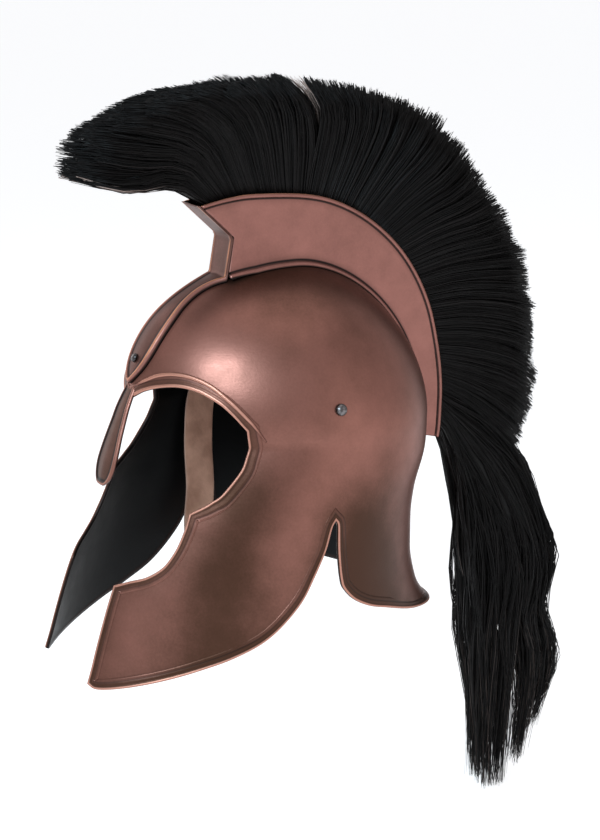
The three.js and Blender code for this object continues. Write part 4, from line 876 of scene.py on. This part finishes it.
foot_drop = (low_radius - out_radius)[:, None] * np.clip((side_x - plate) / (foot_out - plate)[:, None], 0, 1)
right_outer = crest_place(side_x, side_t, foot_drop)
right_inner = crest_place(inner_x, inner_t)
flip = np.array([-1, 1, 1])
floor_share = np.linspace(-1, 1, FLOOR_POINTS)
floor_x = floor_share * (foot_out - 0.6 * MM)[:, None]
floor_under = lane(floor_x, low_angle[:, None], seat)
floor_t = np.broadcast_to(2 * MM / tall[:, None], floor_x.shape)
floor_over = crest_place(floor_share * (inner_x[:, :1] - 0.2 * MM), floor_t)
outer_path = np.concatenate([right_outer * flip, floor_under, right_outer[:, ::-1]], axis=1)
inner_path = np.concatenate([right_inner * flip, floor_over, right_inner[:, ::-1]], axis=1)
tray = np.concatenate([outer_path, inner_path[:, ::-1]], axis=1)
sides = tray.shape[1]
channel_points = tray.reshape(-1, 3)
pairs = np.arange(outer_path.shape[1] - 1)
cap = np.vstack([np.column_stack([pairs, sides - 1 - pairs, pairs + 1]),
                 np.column_stack([pairs + 1, sides - 1 - pairs, sides - 2 - pairs])])
last = (CREST_STATIONS - 1) * sides
channel_faces = np.vstack([quads(sides, CREST_STATIONS, closed=True), cap, cap[:, ::-1] + last])
outer_bare, outer_soot = OUTLINE[:, 4], OUTLINE[:, 5]
floor_bare = np.zeros(FLOOR_POINTS)
bare = np.concatenate([outer_bare, floor_bare, outer_bare[::-1], np.zeros(outer_path.shape[1])])
soot = np.concatenate([outer_soot, floor_bare + 1, outer_soot[::-1], np.ones(outer_path.shape[1])])
build = Build()
build.add(channel_points, channel_faces, patina=0.3, bare=np.tile(bare, CREST_STATIONS),
          soot=np.tile(soot, CREST_STATIONS))
end_angle = np.radians(CREST_BACK)
end_rings = []
end_foot = seat_radius(0, end_angle, seat).item() + 0.4 * MM
radius = np.linspace(end_foot, crest_top(end_angle) - 0.4 * MM, 9)
for back_by, shrink in ((2.2 * MM, 0.2 * MM), (1.2 * MM, 0.2 * MM), (0.4 * MM, 0.2 * MM), (0, 0.6 * MM)):
    spot = polar(end_angle - back_by / radius, radius)
    left = np.column_stack([np.full(9, shrink - plate), spot])
    right = np.column_stack([np.full(9, plate - shrink), spot])[::-1]
    end_rings.append(np.vstack([left, right]))
end_points, end_faces = tube(np.array(end_rings))
build.add(end_points, end_faces, patina=0.5, bare=0.0, soot=0.1)
crest = build.piece("crest_channel", [red_copper])
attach(crest, "root")
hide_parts("crest_box")

# Rivets: three steel ones with domed heads. Each shank goes through the drilled sheet, and its
# inner end is set flat over the band or over the end of the strap.
RIVET_SHANK = 4 * MM
SIDE_RIVET_HEAD = 8.4 * MM
BROW_RIVET_HEAD = 6.2 * MM
STRAP_THICK = 2 * MM
STRAP_STANDOFF = 3.6 * MM
RIVET_TILT_ROOM = 2.8 * MM
SIDE_RIVET_TURN = np.radians(87)
SIDE_RIVET_DROP = 0.316
BAND_RIVET_ANGLE = np.radians(-65)
RIVET_SIDES = 36

steel = Finish("rivet_steel_finish", 0.3, metallic=1.0)
tarnish = (steel.noise(500, 4) + steel.wear("soot") * 0.6).eased(0.45, 0.95)
steel.paint(steel.blend(tarnish, (0.19, 0.175, 0.175), (0.03, 0.026, 0.026)))
steel.gloss(steel.noise(900, 2) * 0.25 + 0.2)
steel.relief(steel.noise(700, 2), 0.00012, 0.5)


def turned(profile, point, normal):
    """A profile of distance from the axis and height, turned round the axis that leaves a point
    along the normal."""
    right = unit(np.cross((0, 0, 1), normal))
    up = np.cross(normal, right)
    phi = np.linspace(0, 2 * np.pi, RIVET_SIDES, endpoint=False)
    circle = np.cos(phi)[:, None] * right + np.sin(phi)[:, None] * up
    return point + profile[:, :1, None] * circle + profile[:, 1:, None] * normal


def rivet(name, node, point, normal, head, over, under):
    shank, dome, inner_end = RIVET_SHANK / 2, head / 2, -under - 1.2 * MM
    arc = np.linspace(0, np.pi / 2, 9)
    profile = [(0.02 * MM, inner_end), (dome * 0.85, inner_end), (dome * 0.9, inner_end + 0.3 * MM),
               (dome * 0.9, -under), (shank, -under), (shank, over), (dome * 0.98, over)]
    profile += [(dome * np.cos(a) + 0.01 * MM, over + dome * (0.12 + 0.7 * np.sin(a))) for a in arc]
    points, faces = tube(turned(np.array(profile), point, normal))
    rim = np.repeat(np.concatenate([np.ones(7), np.linspace(0.6, 0, 9)]), RIVET_SIDES)
    body = Build()
    body.add(points, faces, soot=capped(rim, 0))
    made = body.piece(name, [steel])
    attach(made, "root")
    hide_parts(node)


side_row = row_at_height(SIDE_RIVET_TURN, CROWN - SIDE_RIVET_DROP * CHEEK_DROP)
side_point = shell(SIDE_RIVET_TURN, side_row)
side_normal = shell_normal(SIDE_RIVET_TURN, side_row)
strap_room = WALL + STRAP_STANDOFF + STRAP_THICK + RIVET_TILT_ROOM
rivet("side_rivet_near", "side_rivet_left", side_point, side_normal, SIDE_RIVET_HEAD, CLEARANCE,
      strap_room)
rivet("side_rivet_far", "side_rivet_right", side_point * flip, side_normal * flip, SIDE_RIVET_HEAD,
      CLEARANCE, strap_room)
brow_point = lane(0, BAND_RIVET_ANGLE)
brow_normal = unit(lane(0, BAND_RIVET_ANGLE, 1 * MM) - brow_point)
rivet("brow_rivet", "forehead_rivet", brow_point, brow_normal, BROW_RIVET_HEAD,
      BAND_SEAT + BAND_SHEET + CLEARANCE, WALL + 5 * CLEARANCE)

# Chin strap: one loop of brown strap leather, 23.5 mm wide, between the side rivets inside the bowl. Its
# edges are rounded and painted paler and greyer, a painted sheen along them, and its flesh side is left
# rough.
STRAP_WIDTH = 23.5 * MM
STRAP_DROP = 160 * MM
STRAP_FORWARD = 21 * MM
STRAP_HALF = side_point[0] - WALL - STRAP_STANDOFF - STRAP_THICK / 2
# Columns: drop, side and forward as shares of STRAP_DROP, STRAP_HALF and STRAP_FORWARD.
STRAP = np.array([
    (-0.06, 0.968, -0.1), (0, 0.998, 0), (0.08, 0.99, 0.38), (0.18, 0.991, 0.76), (0.4, 0.995, 0.9),
    (0.62, 0.96, 0.92), (0.8, 0.87, 1.2), (0.92, 0.69, 1.4), (0.985, 0.41, 1.4), (1, 0, 1.4)])
leather = Finish("strap_leather_finish", 0.6)
grain = leather.noise(420, 5)
tone = leather.noise(60, 3)
edge_sheen = leather.wear("rim")
hide = leather.blend(tone.eased(0.3, 0.7), (0.34, 0.165, 0.105), (0.53, 0.28, 0.19))
# The edges are blended towards a paler, greyer brown: a painted sheen.
leather.paint(leather.blend((edge_sheen + (grain - 0.5) * 0.4).eased(0.5, 1.1), hide, (0.42, 0.26, 0.2)))
leather.gloss(grain * 0.3 + 0.42)
leather.relief(grain, 0.0004, 0.6)

marks = STRAP[:, [1, 2, 0]] * (STRAP_HALF, -STRAP_FORWARD, -STRAP_DROP) + (0, side_point[1], side_point[2])
marks = np.vstack([marks, marks[-2::-1] * flip])
strap_line = evenly(through(marks, np.linspace(0, 1, 900)), np.linspace(0, 1, 150))
along = unit(np.gradient(strap_line, axis=0))
wide = unit(np.array([0.0, 1.0, 0.0]) - along * along[:, 1:2])
thick = np.cross(along, wide)
phi = np.linspace(0, 2 * np.pi, 32, endpoint=False)
ring_x = np.sign(np.cos(phi)) * np.abs(np.cos(phi)) ** 0.28
ring_y = np.sign(np.sin(phi)) * np.abs(np.sin(phi)) ** 0.5
strap_points, strap_faces = tube(strap_line[:, None]
                                 + ring_x[:, None] * wide[:, None] * STRAP_WIDTH / 2
                                 + ring_y[:, None] * thick[:, None] * STRAP_THICK / 2)
build = Build()
build.add(strap_points, strap_faces, rim=capped(np.tile(np.abs(ring_x) ** 6, len(strap_line)), 1))
strap = build.piece("chin_loop", [leather])
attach(strap, "root")
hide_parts("chin_strap")

# Plume: black horsehair, bound to a strip that lies in the crest box. The hair over the brow
# sweeps forwards, the middle stands up like a fan and the rest lies back. The ends are clipped.
PLUME_HEIGHT = 80 * MM
PLUME_REACH = 100 * MM
ROOT_DEPTH = 12 * MM
ROOT_HALF = 10.5 * MM
TIP_HALF = 18.5 * MM
# Columns: root in degrees round the bowl's middle, then back and up for a low and a high place and
# the tip, as shares of PLUME_REACH and PLUME_HEIGHT from the crest box's edge.
PLUME = np.array([
    (-19, -0.28, 0.1, -0.66, 0.12, -1.08, 0.27),
    (-18, -0.3, 0.19, -0.7, 0.19, -1.12, 0.32),
    (-15, -0.3, 0.35, -0.7, 0.45, -1.14, 0.54),
    (-11, -0.24, 0.5, -0.56, 0.72, -0.95, 0.77),
    (-7, -0.17, 0.55, -0.42, 0.81, -0.75, 0.9),
    (-3, -0.1, 0.5, -0.25, 0.81, -0.49, 0.98),
    (2, -0.03, 0.45, -0.09, 0.8, -0.22, 1.04),
    (7, 0.07, 0.4, 0.08, 0.76, -0.05, 1.03),
    (12, 0.14, 0.4, 0.18, 0.76, 0.12, 1.01),
    (18, 0.2, 0.38, 0.3, 0.73, 0.33, 0.99),
    (24, 0.26, 0.32, 0.43, 0.62, 0.56, 0.92),
    (31, 0.3, 0.22, 0.56, 0.44, 0.74, 0.69),
    (38, 0.34, 0.12, 0.63, 0.25, 0.87, 0.41),
    (46, 0.36, 0.04, 0.69, 0.09, 0.99, 0.12),
    (54, 0.36, -0.02, 0.72, -0.04, 1.02, -0.1),
    (62, 0.35, -0.06, 0.69, -0.14, 0.98, -0.3),
    (70, 0.34, -0.12, 0.66, -0.24, 0.96, -0.46),
    (77, 0.32, -0.2, 0.62, -0.36, 0.91, -0.65),
    (81.5, 0.28, -0.25, 0.55, -0.49, 0.81, -0.78),
    (84.4, 0.26, -0.3, 0.5, -0.6, 0.72, -0.92),
])

horsehair = Finish("horsehair_black", 0.5, specular=0.16)
tone = horsehair.wear("tone")
black = horsehair.blend(tone, (0.0014, 0.001, 0.0009), (0.0105, 0.0075, 0.007))
# Pale towards the tips is painted backlight: the bright backdrop glowing through thin hair.
horsehair.paint(horsehair.blend(horsehair.wear("pale"), black, (0.42, 0.31, 0.27)))
horsehair.gloss(tone * 0.2 + 0.42)


def root_place(root, depth):
    """Where a hair leaves its backing strip, at an angle and a depth under the box's edge."""
    return polar(np.radians(root), crest_top(np.radians(root)) - depth)


def crest_marks(root, lean):
    """The four places that a hair of the crest goes through. The lean is the root whose line its
    upper part follows, so that hairs gather into locks."""
    places = [root_place(root, ROOT_DEPTH)]
    for column, share in ((1, 0.15), (3, 0.55), (5, 1.0)):
        at = root + (lean - root) * share
        back, up = read(PLUME, column, at), read(PLUME, column + 1, at)
        places.append(root_place(at, 0) + np.stack([back * PLUME_REACH, up * PLUME_HEIGHT], axis=-1))
    return np.stack(places, axis=-2)


CURVE_STEPS = 40


def drawn(marks, reach, t):
    """Each hair's places at shares t of its own length, which is a share of its whole curve. Past
    the curve's end it goes straight on."""
    fine = through(marks, np.linspace(0, 1, CURVE_STEPS + 1))
    at = reach[:, None] * t * CURVE_STEPS
    i = np.clip(at.astype(int), 0, CURVE_STEPS - 1)
    hair = np.arange(len(marks))[:, None]
    return fine[hair, i] + (fine[hair, i + 1] - fine[hair, i]) * (at - i)[..., None]


def strands(lines, girth, thinning, random):
    """Thin three-sided hairs along lines, each turned by chance about its own line. Its girth
    shrinks by the thinning times the fourth power of the share of the way to its tip."""
    count, steps = lines.shape[:2]
    t = np.linspace(0, 1, steps)
    along = unit(np.gradient(lines, axis=1))
    right = unit(np.array([1.0, 0, 0]) - along * along[..., :1])
    up = np.cross(along, right)
    radius = girth[:, None] * (1 - thinning * t ** 4)
    phi = random.uniform(0, 2 * np.pi, (count, 1, 1)) + np.arange(3) * 2 * np.pi / 3
    rings = lines[:, :, None] + radius[..., None, None] * (np.cos(phi)[..., None] * right[:, :, None]
                                                          + np.sin(phi)[..., None] * up[:, :, None])
    first = np.arange(count)[:, None] * steps * 3
    face = quads(3, steps, closed=True)
    ends = np.array([(0, 2, 1), (steps * 3 - 3, steps * 3 - 2, steps * 3 - 1)])
    faces = (first[..., None] + np.vstack([face, ends])[None]).reshape(-1, 3)
    return rings.reshape(-1, 3), faces, np.broadcast_to(t[:, None], (count, steps, 3)).reshape(-1)


def spread(t, tip):
    """Half the thickness of the hair at a share of its length: it opens out in an S-shaped way."""
    return ROOT_HALF + (tip - ROOT_HALF) * eased(t, 0.12, 0.7)


def swaying(t, count, waves, height, random):
    """How far each hair sways off its line: a sine of its own that grows with the way."""
    phase = t * random.uniform(*waves, (count, 1)) + random.uniform(0, 6, (count, 1))
    return random.normal(0, height, (count, 1)) * np.sin(phase) * t


def padded_core(lines, tip, inset):
    """The closed dark body under the hairs: a grid of lines, laid out on both sides."""
    count, steps = lines.shape[:2]
    t = np.linspace(0, 1, steps)
    across = np.sin(np.linspace(0.12, np.pi - 0.12, count))[:, None] ** 0.35
    width = spread(t, tip) * inset * across * (1 - 0.75 * eased(t, 0.6, 1))
    near = np.concatenate([width[..., None], lines], axis=-1)
    far = near * (-1, 1, 1)
    points, outer, inner_side, rim = walled(near.reshape(-1, 3), far.reshape(-1, 3), quads(steps, count))
    return points, np.vstack([outer, inner_side, rim])[:, ::-1]


HAIRS = 4000
HAIR_STEPS = 7
LOCKS = 400
# Degrees from lock to lock, how many locks' width a lock slants from the middle to one side, and
# the most degrees that a hair is drawn over to its lock.
LOCK_SPACING = 2.6
LOCK_SLANT = 1.7
LOCK_PULL = 2.5
# The hair over the crown leans forwards: degrees, and the middle and half width of that stretch.
CROWN_LEAN, CROWN_ROOT, CROWN_REACH = 2.2, 8, 6
# The hair parts over the crown round a thin wisp, whose tips are painted pale as a painted backlight. The
# parting runs slantwise through the crest, and the hairs up to WISP_REACH degrees from it are pushed
# WISP_CLEAR degrees aside.
WISP_ROOT = 6.4
WISP_SLANT = 1.4
WISP_HALF = 0.17
WISP_CLEAR = 1.2
WISP_REACH = 3.1
# Half of the hairs in front of this root are painted pale at the tip, a painted backlight along the fringe
# under the front hank.
FRINGE_ROOT = -18.5


def hank(name, node, start, end, seed):
    random = np.random.default_rng(seed)
    root = random.uniform(start, end, HAIRS)
    aside = random.uniform(-1, 1, HAIRS)
    aside = np.sign(aside) * np.abs(aside) ** 0.7
    lock = np.floor(root / LOCK_SPACING + aside * LOCK_SLANT)
    of_lock = lock.astype(int) + 50
    middle = lock - aside * LOCK_SLANT + 0.5 + random.uniform(-0.4, 0.4, LOCKS)[of_lock]
    pull = np.clip(middle * LOCK_SPACING - root, -LOCK_PULL, LOCK_PULL)
    lean = root + pull * random.uniform(0.2, 0.8, HAIRS)
    lean = lean - CROWN_LEAN * np.exp(-((root - CROWN_ROOT) / CROWN_REACH) ** 2)
    lean = np.clip(lean, start - 0.4, end + 0.4)
    off = lean - WISP_ROOT + WISP_SLANT * aside
    wisp = np.abs(off) < WISP_HALF
    parted = np.where(wisp, off * 6, np.sign(off) * (WISP_CLEAR + np.abs(off) * 0.61))
    lean = np.where(np.abs(off) < WISP_REACH, lean - off + parted, lean)
    ragged = random.normal(0, 0.013, HAIRS) + random.uniform(-0.05, 0.025, LOCKS)[of_lock]
    short = np.where(random.uniform(0, 1, HAIRS) < 0.2, random.uniform(0.7, 0.98, HAIRS), 1.0)
    reach = np.clip((1.0 + ragged - 0.15 * aside ** 2) * short, 0.4, 1.05)
    t = np.linspace(0, 1, HAIR_STEPS)
    flat = drawn(crest_marks(root, lean), reach, t)
    sway = swaying(t, HAIRS, (2, 5), 1.2 * MM, random)
    x = aside[:, None] * spread(t * reach[:, None], TIP_HALF)
    x = x + random.normal(0, 0.8 * MM, (HAIRS, 1)) * t
    lines = np.concatenate([x[..., None], flat + sway[..., None] * (0.7, 0.7)], axis=-1)
    points, faces, share = strands(lines, random.uniform(0.28, 0.52, HAIRS) * MM, 0.5, random)
    fringe_backlight = (root < FRINGE_ROOT) * (random.uniform(0, 1, HAIRS) < 0.5) * 0.8
    pale = np.repeat(np.where(wisp, 0.9, fringe_backlight), HAIR_STEPS * 3)
    body = Build()
    body.add(points, faces, tone=np.repeat(random.beta(1.3, 3.4, HAIRS), HAIR_STEPS * 3),
             pale=pale * np.clip(share - 0.5, 0, 0.4) * 2.5)
    core_root = np.linspace(start, end, 26)
    core_reach = 0.92 - 0.42 * np.exp(-((core_root - WISP_ROOT) / 3.4) ** 2)
    core = drawn(crest_marks(core_root, core_root), core_reach, np.linspace(0, 1, 16))
    core_points, core_faces = padded_core(core, TIP_HALF, 0.7)
    body.add(core_points, core_faces, tone=0.0, pale=0.0)
    made = body.piece(name, [horsehair])
    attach(made, "root")
    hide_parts(node)


# Where one hank ends and the next begins, in degrees.
PARTINGS = (-19, -0.5, 27.5, 58, 84.4)
for number, part in enumerate(("front", "crown", "back", "nape")):
    hank(f"hair_{part}", f"plume_{part}", PARTINGS[number], PARTINGS[number + 1], 11 + number)

# Tail: the longest hair hangs from the box's lower end behind the neck, wavy and never clipped, so
# that it runs out into thin pointed locks.
TAIL_DROP = 300 * MM
TAIL_TIP_HALF = 17 * MM
# Columns: root in degrees, then back and down shares of each place on the way to the tip.
TAIL = np.array([
    (84.6, 0.08, -0.12, 0.44, -0.06, 0.72, 0.04, 0.93, 0.2, 1.09, 0.36, 1.02, 0.5, 1.16, 0.65, 0.98, 0.8),
    (85.5, 0.06, -0.1, 0.42, -0.03, 0.72, 0.07, 0.96, 0.23, 1.12, 0.38, 1.03, 0.51, 1.22, 0.665, 1.05, 0.85),
    (87.5, 0.05, -0.082, 0.36, 0.01, 0.65, 0.12, 0.88, 0.26, 1.0, 0.4, 0.93, 0.53, 1.07, 0.68, 0.95, 0.93),
    (89.8, 0.045, -0.08, 0.31, 0.02, 0.59, 0.15, 0.79, 0.28, 0.88, 0.4, 0.82, 0.54, 0.92, 0.69, 0.85, 0.98),
    (92, 0.045, -0.068, 0.27, 0.035, 0.5, 0.165, 0.67, 0.285, 0.73, 0.41, 0.69, 0.55, 0.76, 0.7, 0.72, 1.02),
    (94.5, 0.04, -0.052, 0.23, 0.05, 0.41, 0.175, 0.52, 0.3, 0.55, 0.42, 0.54, 0.56, 0.59, 0.72, 0.61, 1.02),
    (97, 0.04, -0.034, 0.2, 0.06, 0.3, 0.19, 0.34, 0.32, 0.38, 0.44, 0.4, 0.57, 0.46, 0.74, 0.51, 0.98),
])
TAIL_START, TAIL_END = 84.6, 98
# The roots whose lines the tail's locks follow.
TAIL_LOCKS = np.array([85.8, 88.4, 92.4, 94.6, 96.6])
TAIL_HAIRS = 2450
TAIL_STEPS = 13
# A bundle's own waves: their number in radians over the whole tail, and their height.
BUNDLE_WAVES = 14
BUNDLE_HEIGHT = 4.6 * MM
tail_end = polar(np.radians(CREST_BACK), crest_top(np.radians(CREST_BACK)))


def tail_marks(root, lean):
    """The nine places that a hair of the tail goes through. It follows the line of its lean more
    and more on the way down."""
    places = [root_place(root, ROOT_DEPTH)]
    for k in range(8):
        at = root + (lean - root) * (k / 7) ** 1.5
        places.append(tail_end + np.stack([read(TAIL, 1 + 2 * k, at) * PLUME_REACH,
                                           -read(TAIL, 2 + 2 * k, at) * TAIL_DROP], axis=-1))
    return np.stack(places, axis=-2)


random = np.random.default_rng(29)
root = random.uniform(TAIL_START, TAIL_END, TAIL_HAIRS)
aside = random.uniform(-1, 1, TAIL_HAIRS)
nearest = TAIL_LOCKS[np.abs(root[:, None] - TAIL_LOCKS).argmin(axis=1)]
lean = root + (nearest - root) * random.uniform(0.2, 0.88, TAIL_HAIRS)
short = np.where(random.uniform(0, 1, TAIL_HAIRS) < 0.3, random.uniform(0.65, 0.98, TAIL_HAIRS), 1)
reach = np.clip(random.normal(0.97, 0.03, TAIL_HAIRS) * short, 0.4, 1.0)
t = np.linspace(0, 1, TAIL_STEPS)
flat = drawn(tail_marks(root, lean), reach, t)
down = t * reach[:, None]
x = aside[:, None] * spread(down, TAIL_TIP_HALF) * (1 - 0.65 * eased(down, 0.7, 1))
x = x + random.normal(0, 1.2 * MM, (TAIL_HAIRS, 1)) * t
sway = swaying(t, TAIL_HAIRS, (3, 8), 1.6 * MM, random)
# The hairs of a bundle wave together, and each bundle in its own way.
bundle = (np.floor(root * 1.6) * 5 + np.floor(aside * 2.5))[:, None]
bundle_wave = np.sin(down * BUNDLE_WAVES + bundle * 2.3) * eased(down, 0.1, 0.4)
sway = sway + bundle_wave * np.sin(bundle * 1.7) * BUNDLE_HEIGHT
lines = np.concatenate([x[..., None], flat + sway[..., None] * (0.9, 0.2)], axis=-1)
points, faces, share = strands(lines, random.uniform(0.3, 0.6, TAIL_HAIRS) * MM, 0.7, random)
# A few tail hairs are painted pale towards the tip, as painted backlight.
pale = np.repeat(np.where(random.uniform(0, 1, TAIL_HAIRS) < 0.12, 0.35, 0.0), TAIL_STEPS * 3)
build = Build()
build.add(points, faces, tone=np.repeat(random.beta(1.3, 3.4, TAIL_HAIRS), TAIL_STEPS * 3),
          pale=pale * np.clip(share - 0.7, 0, 1) * 2)
core_root = np.linspace(85.5, 97, 22)
core = drawn(tail_marks(core_root, core_root), np.full(22, 0.7), np.linspace(0, 1, 34))
core_points, core_faces = padded_core(core, TAIL_TIP_HALF, 0.72)
build.add(core_points, core_faces, tone=0.0, pale=0.0)
tail = build.piece("hair_tail", [horsehair])
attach(tail, "root")
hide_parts("plume_tail")
